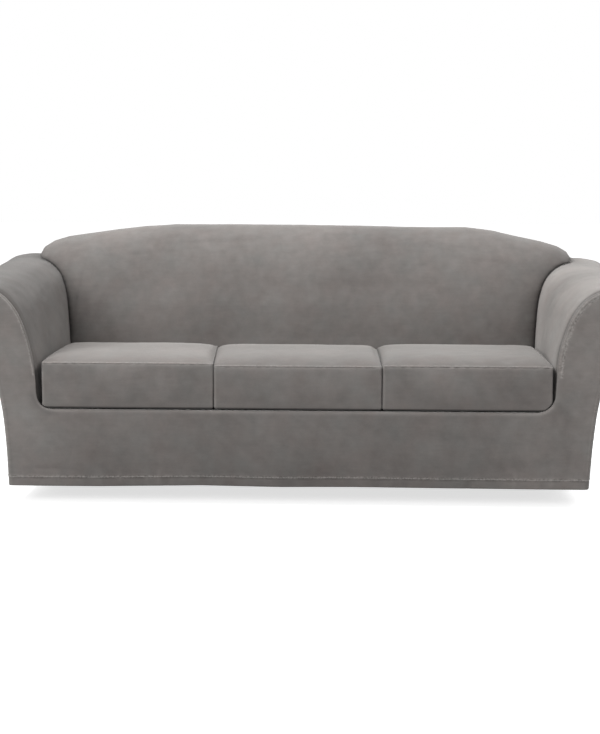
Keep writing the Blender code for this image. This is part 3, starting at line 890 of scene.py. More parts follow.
def front_depth(flat):
    """How far back the panel lies at flat places, and its relief there, with painted highlight
    and shade.
    """
    inner_gap, inner_at = from_line(flat, FRONT_OPENING)
    gap = {side: from_line(flat, FRONT_OUTER[side]) for side in (LEFT, RIGHT)}
    x, z = flat[..., 0], flat[..., 1]
    outer_gap = np.where(x < 0, gap[LEFT][0], gap[RIGHT][0])
    outer_at = np.where(x < 0, gap[LEFT][1], gap[RIGHT][1])
    nearest = np.minimum(inner_gap, outer_gap)
    into = np.clip(1 - nearest / ROLL_RADIUS, 0, 1)
    flat_edge = (inner_gap < outer_gap) * step_up(SEAT_EDGE_Z - z, 0, 0.08)
    flat_edge = flat_edge * step_up(z, DECK_Z + 0.01, DECK_Z + 0.04)
    roll = (SEAM_ROLL + ROLL_PAST) * (1 - np.sqrt(1 - into**2)) * (1 - 0.85 * flat_edge)
    sewn = step_up(z, SEWN_FROM_Z - 0.03, SEWN_FROM_Z + 0.03)
    gathered = np.where(x < 0, 0.5, 1.1)  # the right arm's seam is the more puckered one
    relief = seam_relief(inner_gap, inner_at, 11, 0.0019, 0.0005) * sewn * gathered
    relief += seam_relief(outer_gap, outer_at, 12) * step_up(z, HEM_Z + 0.02, HEM_Z + 0.06) * 0.6
    up = z - hem_line(x)
    relief += hem_relief(up, x, 13)
    calm = step_up(nearest, 0.004, 0.03)
    relief += calm * swells(grid_of(x, 0.0, z), 0.0006, 0.26, 0.00020, 0.045, 14)
    relief += step_up(nearest, 0, 0.012) * creases(x, z, FRONT_CREASES)
    relief += step_up(up, 0, 0.006) * creases(x, z, HEM_TICKS)
    # Painted highlight along the rail's upper edge, and painted shade down in the right arm's
    # seam.
    rail_highlight = RAIL_HIGHLIGHT * hump(inner_gap, 0.003, 0.004) * step_up(RAIL_HIGHLIGHT_BELOW_Z - z, 0, 0.01)
    seam_painted_shade = SEAM_PAINTED_SHADE * hump(inner_gap, 0, 0.0035) * sewn * (x > 0)
    return roll - relief, relief + rail_highlight - seam_painted_shade


def front_grid(rows):
    """Places in space and heights from rows of flat places."""
    flat = np.array(rows)
    hung = np.clip(1 - (flat[..., 1] - HEM_Z - HEM_HEIGHT) / HEM_PULL, 0, 1)
    flat[..., 1] += (hem_line(flat[..., 0]) - HEM_Z) * hung
    depth, relief = front_depth(flat)
    return grid_of(flat[..., 0], depth, flat[..., 1]), relief


ARM_ACROSS = edge_spread(38)


def front_panel_grids():
    """The foot, which runs from side to side, and the two arm fronts above it."""
    hem, above = np.linspace(0, HEM_HEIGHT, 9), np.linspace(HEM_HEIGHT, 0.238, 31)[1:]
    near_rail = DECK_Z - np.array([0.012, 0.008, 0.005, 0.0025, 0.001, 0])
    starts = {side: corner_line(side, 2)[0, 0] for side in (LEFT, RIGHT)}
    rail = np.linspace(-starts[LEFT], starts[RIGHT], RAIL_STEPS)[1:-1]
    foot = []
    for z in np.r_[HEM_Z + hem, HEM_Z + above, near_rail]:
        row = []
        for side in (LEFT, RIGHT):
            _, out = seam_halves(side)
            outer = float(np.interp(z, out[:, 1], out[:, 0]))
            xs = side * (outer + (starts[side] - outer) * ARM_ACROSS)
            row.append(xs if side == LEFT else xs[::-1])
        xs = np.concatenate([row[0], rail, row[1]])
        foot.append(np.column_stack([xs, np.full_like(xs, z)]))
    grids = [front_grid(foot)]
    for side in (LEFT, RIGHT):
        inner, out = seam_halves(side)
        corner = corner_line(side, CORNER_STEPS)
        level = np.interp(corner[:, 1], out[:, 1], out[:, 0])
        far_corner = np.column_stack([level, corner[:, 1]])
        lines = []
        for base, seam in ((corner, inner), (far_corner, out)):
            rising = np.vstack([base[-1:], seam[seam[:, 1] > base[-1, 1] + 0.001]])
            lines.append(np.vstack([base, evenly(rising, RISING_STEPS)[1:]]))
        near, far = lines
        near[-1] += (far[-2] - near[-1]) * 0.02  # so that the last row isn't a single point
        rows = far[:, None] + (near - far)[:, None] * ARM_ACROSS[None, :, None]
        grids.append(front_grid(rows * (side, 1)))
    return grids


front_grids = front_panel_grids()
finish_panel("front_panel", front_grids, (0, 0.5, 0.3), (2.28, 0.66), FRONT_PLUSH)

# %% [markdown]
# ## Arm sleeves
#
# A sleeve is a loft between the front seam and the back seam. It starts just behind the front
# panel's rolled edge. On the seat side each of its lines stops a little behind the inside back,
# where the real cloth is sewn in and pushed down out of sight.

# %% Arm sleeves
SLEEVE_START_Y = 0.0100
SLEEVE_AROUND = 300  # steps round an arm
SLEEVE_LENGTH = 0.85  # from the front seam to the back seam
OUTER_ARM = 0.6  # the outer arm begins at this share of the way round
NEAR_SEAM = np.array([0, 1.2, 2.5, 4, 5.5, 7, 9, 11, 13, 15, 18, 22, 27, 33, 40]) / 1000
SEAT_SHADE_Z = 0.455  # below this, a cushion lies against the sleeve
PAINTED_SHADE_DEPTH = 0.006  # painted shade where pieces press together, given as a depth
SLEEVE_CREASES = {
    LEFT: [
        Crease(0.045, 0.62, 82, 0.16, 0.007, 0.0016),
        Crease(0.085, 0.60, 78, 0.20, 0.009, 0.0018),
        Crease(0.135, 0.63, 84, 0.18, 0.010, 0.0015),
        Crease(0.200, 0.58, 80, 0.16, 0.012, 0.0012),
        Crease(0.300, 0.35, 12, 0.40, 0.030, 0.0008),
        Crease(0.450, 0.55, 10, 0.50, 0.040, 0.0006),
    ],
    RIGHT: [
        Crease(0.060, 0.60, 96, 0.16, 0.008, 0.0014),
        Crease(0.120, 0.64, 100, 0.18, 0.010, 0.0014),
        Crease(0.260, 0.30, -10, 0.36, 0.030, 0.0007),
        Crease(0.480, 0.55, -8, 0.50, 0.040, 0.0006),
    ],
}


def back_line(count):
    """The back's middle section, as (depth, height)."""
    return evenly(smooth(BACK_ROWS), count)


BACK_LINE = back_line(400)


def shoulder_z(z, x):
    """Height of the back's section at x, where the section in the middle is at z."""
    left = np.interp(np.abs(x), column(TOP_ROWS, "x"), column(TOP_ROWS, "left_z"))
    right = np.interp(np.abs(x), column(TOP_ROWS, "x"), column(TOP_ROWS, "right_z"))
    top = np.where(np.asarray(x) < 0, left, right)
    share = (top - SHOULDER_START_Z) / (TOP_Z - SHOULDER_START_Z)
    return np.where(z <= SHOULDER_START_Z, z, SHOULDER_START_Z + (z - SHOULDER_START_Z) * share)


def sleeve_ends(side):
    """Depth at which each line along a sleeve has run in behind the back, or its end."""
    last = DEPTH - SEAM_GAP
    ends = np.full(SLEEVE_AROUND + 1, last)
    found = np.zeros(SLEEVE_AROUND + 1, bool)
    inner = np.arange(SLEEVE_AROUND + 1) <= SLEEVE_AROUND / 2
    for y in np.arange(BACK_ROWS[0].y, last, 0.003):
        line = arm_line(side, y, SLEEVE_AROUND)
        height = np.interp(y, BACK_LINE[:, 0], BACK_LINE[:, 1])
        edge = line[:, 0] + BACK_OVERLAP
        hidden = (edge < TOP_ROWS[-1].x) & (line[:, 1] < shoulder_z(height, side * edge))
        new = hidden & inner & ~found
        ends[new] = min(y + BACK_TUCK, last)
        found |= new
    return ends


def arm_middle(side):
    """A place inside an arm."""
    return side * 1.03, 0.4, 0.55


def sleeve_grid(side):
    """Places on a sleeve, its heights with painted shade, and how far each is above the hem's
    edge.
    """
    ends = sleeve_ends(side)
    shares = np.r_[NEAR_SEAM / SLEEVE_LENGTH, np.linspace(0.058, 0.985, 66), 0.991, 0.996, 1]
    grid = np.zeros((len(shares), SLEEVE_AROUND + 1, 3))
    for k, share in enumerate(shares):
        depths = SLEEVE_START_Y + (ends - SLEEVE_START_Y) * share
        for y in np.unique(np.round(depths, 4)):
            here = np.round(depths, 4) == y
            line = arm_line(side, y, SLEEVE_AROUND)[here]
            grid[k, here] = np.column_stack([side * line[:, 0], depths[here], line[:, 1]])
    y = grid[..., 1]
    around = np.broadcast_to(length_along(arm_line(side, 0.3, SLEEVE_AROUND)), y.shape)
    above_deck = step_up(around, 0.06, 0.12)
    relief = 0.25 * seam_relief(y - SLEEVE_START_Y, around, 21 + side) * above_deck
    edge = HEM_Z + (hem_line(side) - HEM_Z) * (1 - y / DEPTH)
    outer = around > around[0, -1] * OUTER_ARM
    up = np.where(outer, grid[..., 2] - edge, 0.5)  # 0.5 is far above the hem
    relief += np.where(outer, hem_relief(up, y, 31 + side), 0)
    calm = step_up(y, 0.012, 0.05) * step_up(ends[None, :] - y, 0.003, 0.03)
    relief += calm * swells(grid, 0.0012, 0.30, 0.00022, 0.05, 25)
    relief += creases(y, around, SLEEVE_CREASES[side])
    back_seam = step_up(0.02 - (DEPTH - y), 0, 0.02)
    relief += 0.0006 * back_seam * waver(around, 0.022, 27)
    if side == RIGHT:
        relief -= 0.0016 * hump(y - SLEEVE_START_Y, 0.005, 0.005) * above_deck
    # Painted shade: where a cushion lies against the sleeve, where the sleeve runs on behind the
    # back, and in the right arm's seam.
    beside_seat = step_up(SEAT_SHADE_Z - grid[..., 2], 0, 0.015) * ~outer
    shade = BACK_TUCK - 0.010 - (ends[None, :] - y)
    painted_shade_amount = step_up(shade, 0, 0.010) * (ends < DEPTH - 0.01)
    deep = PAINTED_SHADE_DEPTH * np.maximum(painted_shade_amount, beside_seat)
    deep += 0.0025 * hump(y - SLEEVE_START_Y, 0.004, 0.006) * above_deck * (side == RIGHT)
    return raised(grid, relief, arm_middle(side)), relief - deep, up


sleeve_grids = {}
for side, name in ((LEFT, "sleeve_left"), (RIGHT, "sleeve_right")):
    sleeve_grids[side] = sleeve_grid(side)
    patch = sleeve_grids[side][:2]
    finish_panel(name, [patch], arm_middle(side), (0.85, 1.95), SLEEVE_PLUSH)

# %% [markdown]
# ## Inside back
#
# The back's face leans, rolls over its top and falls to a rounded shoulder at each end. Its
# section is one curve in the middle; the height of that curve is squeezed towards the ends, and
# each row stops where it meets the arm. Stretched plush shows faint level creases where it turns
# over the top.

# %% Inside back
INSIDE_BACK = (0, 0.74, 0.5)  # a place inside the back
FACE_END_Y = 0.80  # behind this the back is its rolled top
SWELL_FROM_Z, ROLL_FROM_Z, FADE = 0.50, 0.40, 0.12  # crown and rolled edges start here, softly
BACK_ROLL_WIDTH = 0.024
PAINTED_SHADE_BESIDE_ARMS = [(0.0065, 0.007), (0.0030, 0.040)]  # depth and width of the shade beside the arms
BACK_CREASES = [
    Crease(-0.35, 0.845, 1, 0.50, 0.022, 0.0007),
    Crease(0.42, 0.830, -1, 0.45, 0.020, 0.0006),
    Crease(-0.62, 0.800, 4, 0.30, 0.014, 0.0005),
    Crease(0.18, 0.868, 0, 0.36, 0.012, 0.0005),
    Crease(0.70, 0.775, -6, 0.24, 0.016, 0.0006),
    Crease(0.10, 0.700, 0, 0.80, 0.040, 0.0006),
    Crease(-0.84, 0.560, 80, 0.30, 0.020, 0.0012),
]


def reach_at(side, y, z):
    """How far out the back's section at height z and depth y meets the arm."""
    line = arm_line(side, y, FINE)
    line = line[: int(np.argmax(line[:, 1])) + 1]
    over = line[:, 1] + CLEAR - shoulder_z(z, side * line[:, 0])
    k = int(np.argmax(over >= 0))
    if k == 0:
        return line[0, 0] - CLEAR
    share = -over[k - 1] / (over[k] - over[k - 1])
    return line[k - 1, 0] + (line[k, 0] - line[k - 1, 0]) * share - CLEAR


def inside_back_grid():
    """Places on the back's face and their heights, with painted shade beside the arms."""
    section = back_line(112)
    half = 1 - (1 - np.linspace(0, 1, 112)) ** 1.5
    columns = np.r_[-half[:0:-1], half]
    grid = np.zeros((len(section), len(columns), 3))
    gap = np.zeros(grid.shape[:2])
    for k, (y, z) in enumerate(section):
        reach = {side: reach_at(side, y, z) for side in (LEFT, RIGHT)}
        width = np.where(columns < 0, reach[LEFT], reach[RIGHT])
        x = width * columns
        face = np.clip((FACE_END_Y - y) / 0.1, 0, 1)
        swell = np.clip((z - SWELL_FROM_Z) / FADE, 0, 1) * face
        gap[k] = width - np.abs(x)
        edge = BACK_ROLL * np.exp(-gap[k] / BACK_ROLL_WIDTH)
        edge = edge * np.clip((z - ROLL_FROM_Z) / FADE, 0, 1) * face
        depth = y - BACK_CROWN * (1 - columns**2) * swell + edge
        grid[k] = np.column_stack([x, depth, shoulder_z(z, x)])
    x, y, z = grid[..., 0], grid[..., 1], grid[..., 2]
    face = step_up(0.79 - y, 0, 0.08)
    calm = step_up(gap, 0.004, 0.04) * step_up(DEPTH - y, 0.004, 0.03)
    relief = calm * swells(grid, 0.0007, 0.34, 0.00022, 0.05, 41)
    relief += calm * face * creases(x, z, BACK_CREASES)
    relief += 0.0007 * waver(z * 1.4, 0.030, 43) * np.exp(-gap / 0.012) * step_up(gap, 0, 0.004)
    level = step_up(z, 0.74, 0.84) * calm
    relief += 0.00018 * level * billow(grid_of(x * 0.4, y, z * 3.0), 0.055, 44)
    # Painted shade beside the arms, darker than the cloth's own depth.
    painted_shade_amount = sum(depth * np.exp(-gap / width) for depth, width in PAINTED_SHADE_BESIDE_ARMS)
    deep = painted_shade_amount * np.clip((0.84 - y) / 0.05, 0, 1)
    return raised(grid, relief, INSIDE_BACK), relief - deep


finish_panel("inside_back", [inside_back_grid()], INSIDE_BACK, (1.98, 0.95), BACK_PLUSH)

# %% [markdown]
# ## Outside back and seat deck
#
# The rear panel is flat and covers both arms' ends as well. It is drawn between its left and
# right outline, row by row, from the hem to the top seam. The deck is plain cloth under the
# cushions, which only shows as a dark line between them, so it is a simple sagging grid. Its
# plush is painted nearly black, as painted shade for those slits.


# %% Outside back and deck
REAR_SIDE_STEPS, REAR_TOP_STEPS = 78, 30
REAR_MIDDLE_X = 0.42  # the left and right outlines end this far out, on the top seam


def back_outline(side):
    """The rear panel's edge from the hem up round the arm's roll and along the top seam."""
    line = arm_line(side, DEPTH, FINE)[::-1]
    line = evenly(line[: int(np.argmax(line[:, 1])) + 1], REAR_SIDE_STEPS)
    seam = BACK_ROWS[-1]
    reach = reach_at(side, seam.y, seam.z)
    inwards = np.linspace(0, 1, REAR_TOP_STEPS + 1)[1:] ** 1.25
    x = reach + (REAR_MIDDLE_X - reach) * inwards
    rising = line[-1, 1] + 0.0015 * np.arange(1, REAR_TOP_STEPS + 1) / 3
    z = np.maximum(shoulder_z(seam.z, side * x), rising)
    return np.vstack([line, np.column_stack([x, np.maximum.accumulate(z)])])


def outside_back_grid():
    """Places on the rear panel, their heights, and how far each is above the hem's edge."""
    left, right = (back_outline(side) * (side, 1) for side in (LEFT, RIGHT))
    across = edge_spread(150, 0.5)
    flat = left[:, None] + (right - left)[:, None] * across[None, :, None]
    x, z = flat[..., 0], flat[..., 1]
    edge = np.vstack([left, right[::-1]])
    gap, along = from_line(flat, edge)
    into = np.clip(1 - gap / 0.010, 0, 1)
    roll = 0.0025 * (1 - np.sqrt(1 - into**2))
    swell = 0.0035 * np.cos(x / 1.16 * math.pi / 2) * step_up(gap, 0, 0.3)
    up = z - HEM_Z
    relief = hem_relief(up, x, 51)
    relief += seam_relief(gap, along, 52, 0.0010, 0.0006) * step_up(up, 0.03, 0.06)
    calm = step_up(gap, 0.004, 0.04)
    relief += calm * swells(grid_of(x, 0.0, z), 0.0016, 0.36, 0.0002, 0.05, 53)
    depth = DEPTH + CLOTH + swell + relief - roll
    return grid_of(x, depth, z), relief, up


rear_grid, rear_relief, rear_up = outside_back_grid()
rear_patch = (rear_grid, rear_relief)
finish_panel("outside_back", [rear_patch], (0, 0.4, 0.5), (2.29, 0.81), BACK_PLUSH)


def deck_grid():
    """Places on the seat deck, which sags a little between its seams."""
    half = ARM_ROWS[0].back_x + 0.001
    u, v = np.meshgrid(np.linspace(-1, 1, 90), np.linspace(0, 1, 30))
    y = FRONT_SEAM_Y + (BACK_ROWS[0].y + CLOTH - FRONT_SEAM_Y) * v
    sag = 0.004 * (1 - u**4) * np.sin(math.pi * v)
    return grid_of(half * u, y, DECK_Z - sag), -sag * 0.2


finish_panel("seat_deck", [deck_grid()], (0, 0.3, 0), (1.73, 0.54), DECK_SHADE_PLUSH)

# %% [markdown]
# ## Seat cushion covers
#
# Each cushion cover has a crowned top and a band round its sides, turned in underneath. The top
# seam stands up as a narrow edge. The outer cushions' lower front corners are squeezed in by the
# front panel's rounded corner, as foam is.

# %% Seat cushions
SEAT_FRONT_Y, SEAT_BACK_Y = 0.004, 0.536
SEAT_SEAM_Z = 0.467  # front top seam of the cushions
SEAT_MIDDLE_Z = 0.40  # a height inside the cushions
SEAT_LIFT = 0.0035  # cushions' underside above the deck
SEAT_SPACE = 0.0018  # between neighbouring cushions
SEAT_CORNER = 0.008  # radius of the corners in plan
SEAT_TURN_IN = 0.032  # cloth turned in under a cushion
SEAT_CLEAR = 0.0015  # between a cushion's front corners and the front panel's inside corners
SEAT_FREE_Y = 0.014  # behind this a cushion's side is past the front panel
SQUEEZE_X = 0.650  # beyond this a cushion's front is squeezed in by the front panel's corner
FRONT_SWELL = 0.009  # how far a band's front bulges in its middle
PRESSED_Z = (0.40, 0.44)  # between these heights neighbours come to press on each other
LEFT_DIP, LEFT_FALL, RIGHT_DIP = 0.60, 0.020, 0.55  # how much the crown sinks at its ends
ROUND_END = 0.030  # and over how wide a strip it is rounded at the right
SEAT_SHADE = 0.007  # painted shade on the bands between cushions and under them, given as a depth
TOP_STEPS, BAND_ACROSS, BAND_DEEP, BAND_UP = 64, 74, 66, 30  # steps of the cushions' grids
SeatRow = namedtuple(
    "SeatRow", "name left_front left_back right_front right_back lift crown fall seed"
)
SEAT_ROWS = [
    SeatRow("cushion_left", -0.842, -0.845, -0.274, -0.306, 0.0015, 0.0250, 0.036, 61),
    SeatRow("cushion_middle", -0.274, -0.306, 0.279, 0.2715, -0.0060, 0.0305, 0.022, 71),
    SeatRow("cushion_right", 0.279, 0.2715, 0.835, 0.840, -0.0030, 0.0305, 0.022, 81),
]
BandRow = namedtuple("BandRow", "out z")
BAND_ROWS = [
    BandRow(-SEAT_TURN_IN, DECK_Z + SEAT_LIFT + 0.0015),
    BandRow(-0.018, DECK_Z + SEAT_LIFT),
    BandRow(-0.006, DECK_Z + SEAT_LIFT + 0.0005),
    BandRow(-0.0005, DECK_Z + SEAT_LIFT + 0.006),
    BandRow(0.0, 0.342),
    BandRow(0.0, 0.366),
    BandRow(0.0, 0.430),
    BandRow(-0.001, 0.456),
    BandRow(-0.004, SEAT_SEAM_Z),
]


def rounded(u, v, half_x, half_y, radius):
    """Places on a rounded rectangle's plan, from places on the square of -1 to 1."""
    ring = np.maximum(np.maximum(np.abs(u), np.abs(v)), 1e-9)
    x, y = half_x * u / ring, half_y * v / ring
    away_x = x - np.clip(x, radius - half_x, half_x - radius)
    away_y = y - np.clip(y, radius - half_y, half_y - radius)
    corner = (np.abs(away_x) > 1e-9) & (np.abs(away_y) > 1e-9)
    shrink = np.where(corner, radius / np.maximum(np.hypot(away_x, away_y), 1e-9), 1)
    pull = (shrink - 1) * ring**12  # only near the outline, so that the middle stays square
    return half_x * u + away_x * pull, half_y * v + away_y * pull


def cushion_plan(row, u, v, out, z):
    """A place on a cushion's plan, out beyond its outline, which leans as the sides do."""
    half_y = (SEAT_BACK_Y - SEAT_FRONT_Y) / 2
    half_x = (row.right_front - row.left_front - SEAT_SPACE) / 2
    free = 1 - float(step_up(z, *PRESSED_Z))
    x, y = rounded(u, v, half_x + out * free, half_y + out, SEAT_CORNER)
    back = y / (2 * half_y) + 0.5
    left = row.left_front + (row.left_back - row.left_front) * back + SEAT_SPACE / 2
    right = row.right_front + (row.right_back - row.right_front) * back - SEAT_SPACE / 2
    share = x / (2 * half_x) + 0.5
    return left + (right - left) * share, (SEAT_FRONT_Y + SEAT_BACK_Y) / 2 + y


def opening_x(side, z, gap):
    """How far out the front panel's opening is at each height, less a gap."""
    top = DECK_Z + CORNER_Z[side]
    start = seam_x(side, top) - CORNER_X
    inner, _ = seam_halves(side)
    above = np.interp(z, inner[:, 1], inner[:, 0]) - gap
    drop = np.clip((top - z) / (CORNER_Z[side] - gap), 0, 1)
    power = CORNER_SHARP[side]
    return np.where(z >= top, above, start + (CORNER_X - gap) * (1 - drop**power) ** (1 / power))


def cushion_top_grid(row):
    """The crowned top panel, from its seam up."""
    line = edge_spread(TOP_STEPS, 0.92) * 2 - 1
    u, v = np.meshgrid(line, line)
    x, y = cushion_plan(row, u, v, BAND_ROWS[-1].out + 0.0004, SEAT_SEAM_Z)
    half = (row.right_front - row.left_front) / 2
    from_left, from_right = (1 + u) * half, (1 - u) * half
    crown = 1 - LEFT_DIP * np.exp(-from_left / LEFT_FALL)
    crown = crown - RIGHT_DIP * np.exp(-from_right / row.fall)
    crown *= np.sqrt(1 - np.clip(1 - from_right / ROUND_END, 0, 1) ** 2)
    crown *= (1 - np.abs(u) ** 60) ** 0.3 * (1 - np.abs(v) ** 4) ** 0.7
    grid = grid_of(x, y, SEAT_SEAM_Z + row.lift + row.crown * crown)
    gap = (1 - np.maximum(np.abs(u), np.abs(v))) * 0.27
    calm = step_up(gap, 0.002, 0.03)
    relief = calm * swells(grid, 0.0006, 0.21, 0.0002, 0.05, row.seed)
    along = np.where(np.abs(u) > np.abs(v), y, x)
    relief += 0.0012 * hump(gap, 0.0015, 0.0035) * (1 + 0.5 * waver(along, 0.03, row.seed + 2))
    # Painted shade on the top's sides, where it meets the next cushion or an arm.
    painted_shade_amount = np.exp(-(1 - np.abs(u)) * half / 0.005) * step_up(y, 0.01, 0.03)
    inside = (x.mean(), y.mean(), SEAT_MIDDLE_Z)
    return raised(grid, relief, inside), relief - PAINTED_SHADE_DEPTH * painted_shade_amount


def cushion_band_grid(row):
    """The band, as rings from the turned-in edge underneath up to the top seam."""
    wide = edge_spread(BAND_ACROSS, 0.85) * 2 - 1
    deep = edge_spread(BAND_DEEP, 0.85) * 2 - 1
    u = np.concatenate([wide, np.ones(BAND_DEEP), wide[-2::-1], -np.ones(BAND_DEEP - 1)])
    v = np.concatenate([-np.ones(len(wide)), deep[1:], np.ones(BAND_ACROSS), deep[-2:0:-1]])
    levels = evenly(smooth(BAND_ROWS, 8), BAND_UP)
    outermost = max(-row.left_front, row.right_front)
    rings, gaps = [], []
    for out, z in levels:
        height = (z - DECK_Z) / (SEAT_SEAM_Z - DECK_Z)
        x, y = cushion_plan(row, u, v, out, z)
        swell = FRONT_SWELL * math.sin(math.pi * min(max(height, 0), 1))
        y = y - np.where(v == -1, swell * (1 - u * u), 0)
        z = z + row.lift * max(height, 0)
        reach = np.abs(x)
        freed = step_up(y, SEAT_FREE_Y, SEAT_FREE_Y + 0.06)
        limit = opening_x(LEFT if row.left_front < -0.5 else RIGHT, z, SEAT_CLEAR) + 0.05 * freed
        squeeze = np.minimum((limit - SQUEEZE_X) / (outermost - SQUEEZE_X), 1)
        squeezed = reach - np.maximum(reach - SQUEEZE_X, 0) * (1 - squeeze)
        rings.append(grid_of(np.sign(x) * squeezed, y, z))
        gaps.append(np.full_like(x, SEAT_SEAM_Z + row.lift - z))
    grid, gap = np.array(rings), np.array(gaps)
    calm = step_up(gap, 0.002, 0.02) * step_up(grid[..., 2], DECK_Z + 0.012, DECK_Z + 0.035)
    relief = calm * swells(grid, 0.0007, 0.16, 0.0002, 0.05, row.seed + 3)
    along = np.broadcast_to(length_along(grid[10, :, :2]), gap.shape)
    relief += 0.0008 * hump(gap, 0.0, 0.004) * (1 + 0.5 * waver(along, 0.03, row.seed + 2))
    # Painted shade on the band's sides, back and underside, and a painted highlight beside its
    # front corner seams.
    painted_shade_amount = step_up(grid[..., 1], 0.006, 0.020)
    half = (row.right_front - row.left_front) / 2
    from_corner = np.where(v == -1, (1 - np.abs(u)) * half, 1.0)  # 1 is far away
    rubbed_and_painted_light = 0.0020 * hump(from_corner, 0.003, 0.005) * (grid[..., 2] < SEAT_SEAM_Z - 0.03)
    under = step_up(DECK_Z + SEAT_LIFT + 0.007 - grid[..., 2], 0, 0.004)
    inside = (grid[..., 0].mean(), grid[..., 1].mean(), SEAT_MIDDLE_Z)
    deep = SEAT_SHADE * np.maximum(painted_shade_amount, under)
    return raised(grid, relief, inside, ring=True), relief + rubbed_and_painted_light - deep


seat_tops = {}
for row in SEAT_ROWS:
    centre = ((row.left_front + row.right_front) / 2, 0.27, SEAT_MIDDLE_Z)
    width = row.right_front - row.left_front
    name = row.name + "_top"
    top, relief = cushion_top_grid(row)
    seat_tops[name] = top
    finish_panel(name, [(top, relief)], centre, (width, 0.56), CUSHION_TOP_PLUSH)
    name, size = row.name + "_boxing", (2 * (width + 0.53), 0.19)
    finish_panel(name, [cushion_band_grid(row)], centre, size, CUSHION_BAND_PLUSH, ring=True)

# %% [markdown]
# ## Stitches
#
# A row of topstitching is one stitch repeated along a line, which is what Geometry Nodes are
# for: resample the line at the stitch's pitch, put a long bead on every point, turn it along the
# line, and realise the copies so that they are real mesh. The lines are read off the finished
# grids, so the thread lies in the grooves that the relief made.


# %% Stitch builder
STITCH_LENGTH, STITCH_PITCH, STITCH_RADIUS = 0.0036, 0.0052, 0.0010
SHORTEST, LONGEST = 0.38, 0.56  # a bead's half length, as shares of the stitch's length


def stitch_tree():
    """Geometry Nodes that lay stitches along the edges of a mesh."""
    tree = bpy.data.node_groups.new("stitches", "GeometryNodeTree")
    for name, kind, value in (
        ("Geometry", "NodeSocketGeometry", None),
        ("Pitch", "NodeSocketFloat", STITCH_PITCH),
        ("Length", "NodeSocketFloat", STITCH_LENGTH),
        ("Radius", "NodeSocketFloat", STITCH_RADIUS),
        ("Thread", "NodeSocketMaterial", None),
    ):
        socket = tree.interface.new_socket(name, in_out="INPUT", socket_type=kind)
        if value is not None:
            socket.default_value = value
    tree.interface.new_socket("Geometry", in_out="OUTPUT", socket_type="NodeSocketGeometry")
    graph = Graph(tree)
    given = tree.nodes.new("NodeGroupInput").outputs
    path, pitch, length, radius, material = (Link(graph, socket) for socket in given[:5])
    curve = graph.node("GeometryNodeMeshToCurve", None, {"Mesh": path})
    points = graph.node(
        "GeometryNodeResampleCurve", {"mode": "LENGTH"}, {"Curve": curve, "Length": pitch}
    )
    bead = graph.node("GeometryNodeMeshIcoSphere", None, {"Radius": 1.0, "Subdivisions": 1})
    tangent = graph.node("GeometryNodeInputTangent")
    turn = graph.node("FunctionNodeAlignRotationToVector", {"axis": "Z"}, {"Vector": tangent})
    uneven = graph.node(
        "FunctionNodeRandomValue", {"data_type": "FLOAT"}, {2: SHORTEST, 3: LONGEST, "Seed": 5}, 1
    )
    size = {"X": radius, "Y": radius, "Z": length * uneven}
    scale = graph.node("ShaderNodeCombineXYZ", None, size)
    laid = {"Points": points, "Instance": bead, "Rotation": turn, "Scale": scale}
    stitches = graph.node("GeometryNodeInstanceOnPoints", None, laid)
    for kind in ("GeometryNodeRealizeInstances", "GeometryNodeSetShadeSmooth"):
        stitches = graph.node(kind, None, {"Geometry": stitches})
    painted = {"Geometry": stitches, "Material": material}
    stitches = graph.node("GeometryNodeSetMaterial", None, painted)
    graph.feed(tree.nodes.new("NodeGroupOutput").inputs["Geometry"], stitches)
    return tree


STITCH_TREE = stitch_tree()


def sew(name, lines, radius=STITCH_RADIUS):
    """Rows of stitches along lines of places, as one plain mesh."""
    places = np.vstack(lines) - HELD_AT
    edges, start = [], 0
    for line in lines:
        edges += [(start + i, start + i + 1) for i in range(len(line) - 1)]
        start += len(line)
    path = bpy.data.meshes.new(name + "_path")
    path.from_pydata(places.tolist(), edges, [])
    guide = add_object(name + "_path", path)
    modifier = guide.modifiers.new("stitches", "NODES")
    modifier.node_group = STITCH_TREE
    values = {"Radius": radius, "Thread": THREAD}
    for item in STITCH_TREE.interface.items_tree:
        if item.in_out == "INPUT" and item.name in values:
            modifier[item.identifier] = values[item.name]
    bpy.context.view_layer.update()
    evaluated = guide.evaluated_get(bpy.context.evaluated_depsgraph_get())
    mesh = bpy.data.meshes.new_from_object(evaluated)
    mesh.name = name
    bpy.data.objects.remove(guide)
    stitches = add_object(name, mesh)
    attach(stitches, "root")
    print("%-24s %6d faces" % (name, len(mesh.polygons)))
    return stitches


# %% [markdown]
# The rows run where a machine would sew them: round the hems, beside the arm seams above the
# seat, and along the cushions' front seams, which have a finer thread.

# %% Sew the hems and the arm seams
CREST_ROWS, CORNER_ROWS = 10, 16  # rows left out at an arm's crest and at its rounded corner
FRONT_ROW = 2  # the row of a cushion top's grid on which its front seam is stitched
FINE_THREAD = 0.0005  # radius of its stitches
foot_grid = front_grids[0][0]
foot_up = foot_grid[..., 2] - hem_line(foot_grid[..., 0])
hem_lines = [contour(foot_grid.transpose(1, 0, 2), foot_up.T, HEM_HEIGHT)]
for side in (LEFT, RIGHT):
    grid, _, up = sleeve_grids[side]
    half = SLEEVE_AROUND // 2
    hem_lines.append(contour(grid[2:-2, half:], up[2:-2, half:], HEM_HEIGHT))
hem_lines.append(contour(rear_grid.transpose(1, 0, 2), rear_up.T, HEM_HEIGHT))
hem_stitches = sew("hem_stitches", hem_lines)

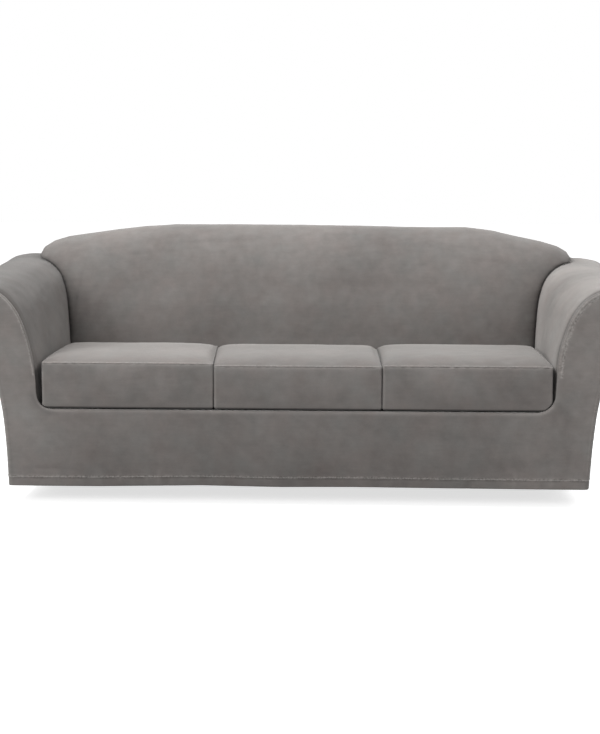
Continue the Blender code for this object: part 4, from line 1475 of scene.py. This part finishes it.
arm_lines = []
for (grid, _), side in zip(front_grids[1:], (LEFT, RIGHT)):
    flat = grid[..., [0, 2]]
    middle = len(ARM_ACROSS) // 2
    inner_gap, _ = from_line(flat, FRONT_OPENING)
    outer_gap, _ = from_line(flat, FRONT_OUTER[side])
    inset = STITCH_IN[side]
    inner = np.s_[CORNER_ROWS:-CREST_ROWS, middle:]
    outer = np.s_[:-CREST_ROWS, : middle + 1]
    arm_lines.append(contour(grid[inner], inner_gap[inner], inset))
    arm_lines.append(contour(grid[outer], outer_gap[outer], inset))
arm_lines = [line[line[:, 2] > SEWN_FROM_Z] for line in arm_lines]
arm_stitches = sew("arm_seam_stitches", arm_lines)

seat_lines = {name: [top[FRONT_ROW, 4:-4]] for name, top in seat_tops.items()}
seat_stitches = {
    name: sew(name + "_stitches", lines, FINE_THREAD) for name, lines in seat_lines.items()
}

# %% [markdown]
# Each vertex near a row of stitches gets a mark for the plush material, which turns it into pale
# specks: painted highlights where the puckered cloth beside a seam catches the light.


# %% Mark the pile beside the stitches
MarkRow = namedtuple("MarkRow", "lines reach strength")


def mark_stitched(piece, rows):
    """Writes how near each vertex of a piece is to its rows of stitches."""
    marks = np.zeros(len(piece.data.vertices))
    for row in rows:
        dense = np.vstack([smooth(line, 6) for line in row.lines]) - HELD_AT
        tree = KDTree(len(dense))
        for k, place in enumerate(dense):
            tree.insert(place, k)
        tree.balance()
        near = np.array([tree.find(vertex.co)[2] for vertex in piece.data.vertices])
        marks = np.maximum(marks, row.strength * np.exp(-((near / row.reach) ** 2)))
    piece.data.attributes["stitched"].data.foreach_set("value", marks.astype(np.float32))
    return int((marks > 0.1).sum())


hem_mark = MarkRow(hem_lines, 0.0035, 1.0)
left_arm_mark = MarkRow(arm_lines[:2], 0.0026, 0.7)
right_arm_mark = MarkRow(arm_lines[2:], 0.0050, 1.0)
seam_marks = {name: [MarkRow(lines, 0.0025, 0.5)] for name, lines in seat_lines.items()}
seam_marks.update({n: [hem_mark] for n in ("sleeve_left", "sleeve_right", "outside_back")})
seam_marks["front_panel"] = [hem_mark, left_arm_mark, right_arm_mark]
for name, rows in seam_marks.items():
    print("%-24s %6d vertices beside a seam" % (name, mark_stitched(pieces[name][0], rows)))

# %% [markdown]
# ## What each piece was cut to
#
# Stretch plush is cut about four per cent smaller than the shape that it covers and is held
# stretched, so each piece's cut size is printed from its stretched size.

CUT = 0.96  # cut size as a share of the stretched size
for name, (piece, (width, length), area) in pieces.items():
    flat_area = min(area * CUT**2, width * length * CUT**2)
    sewn_on = [seat_stitches[name]] if name in seat_stitches else []
    if name == "front_panel":
        sewn_on = [hem_stitches, arm_stitches]
    round(width * CUT, 3)
    round(length * CUT, 3)
    print("%-24s cut from %.2f by %.2f m" % (name, width * CUT, length * CUT))
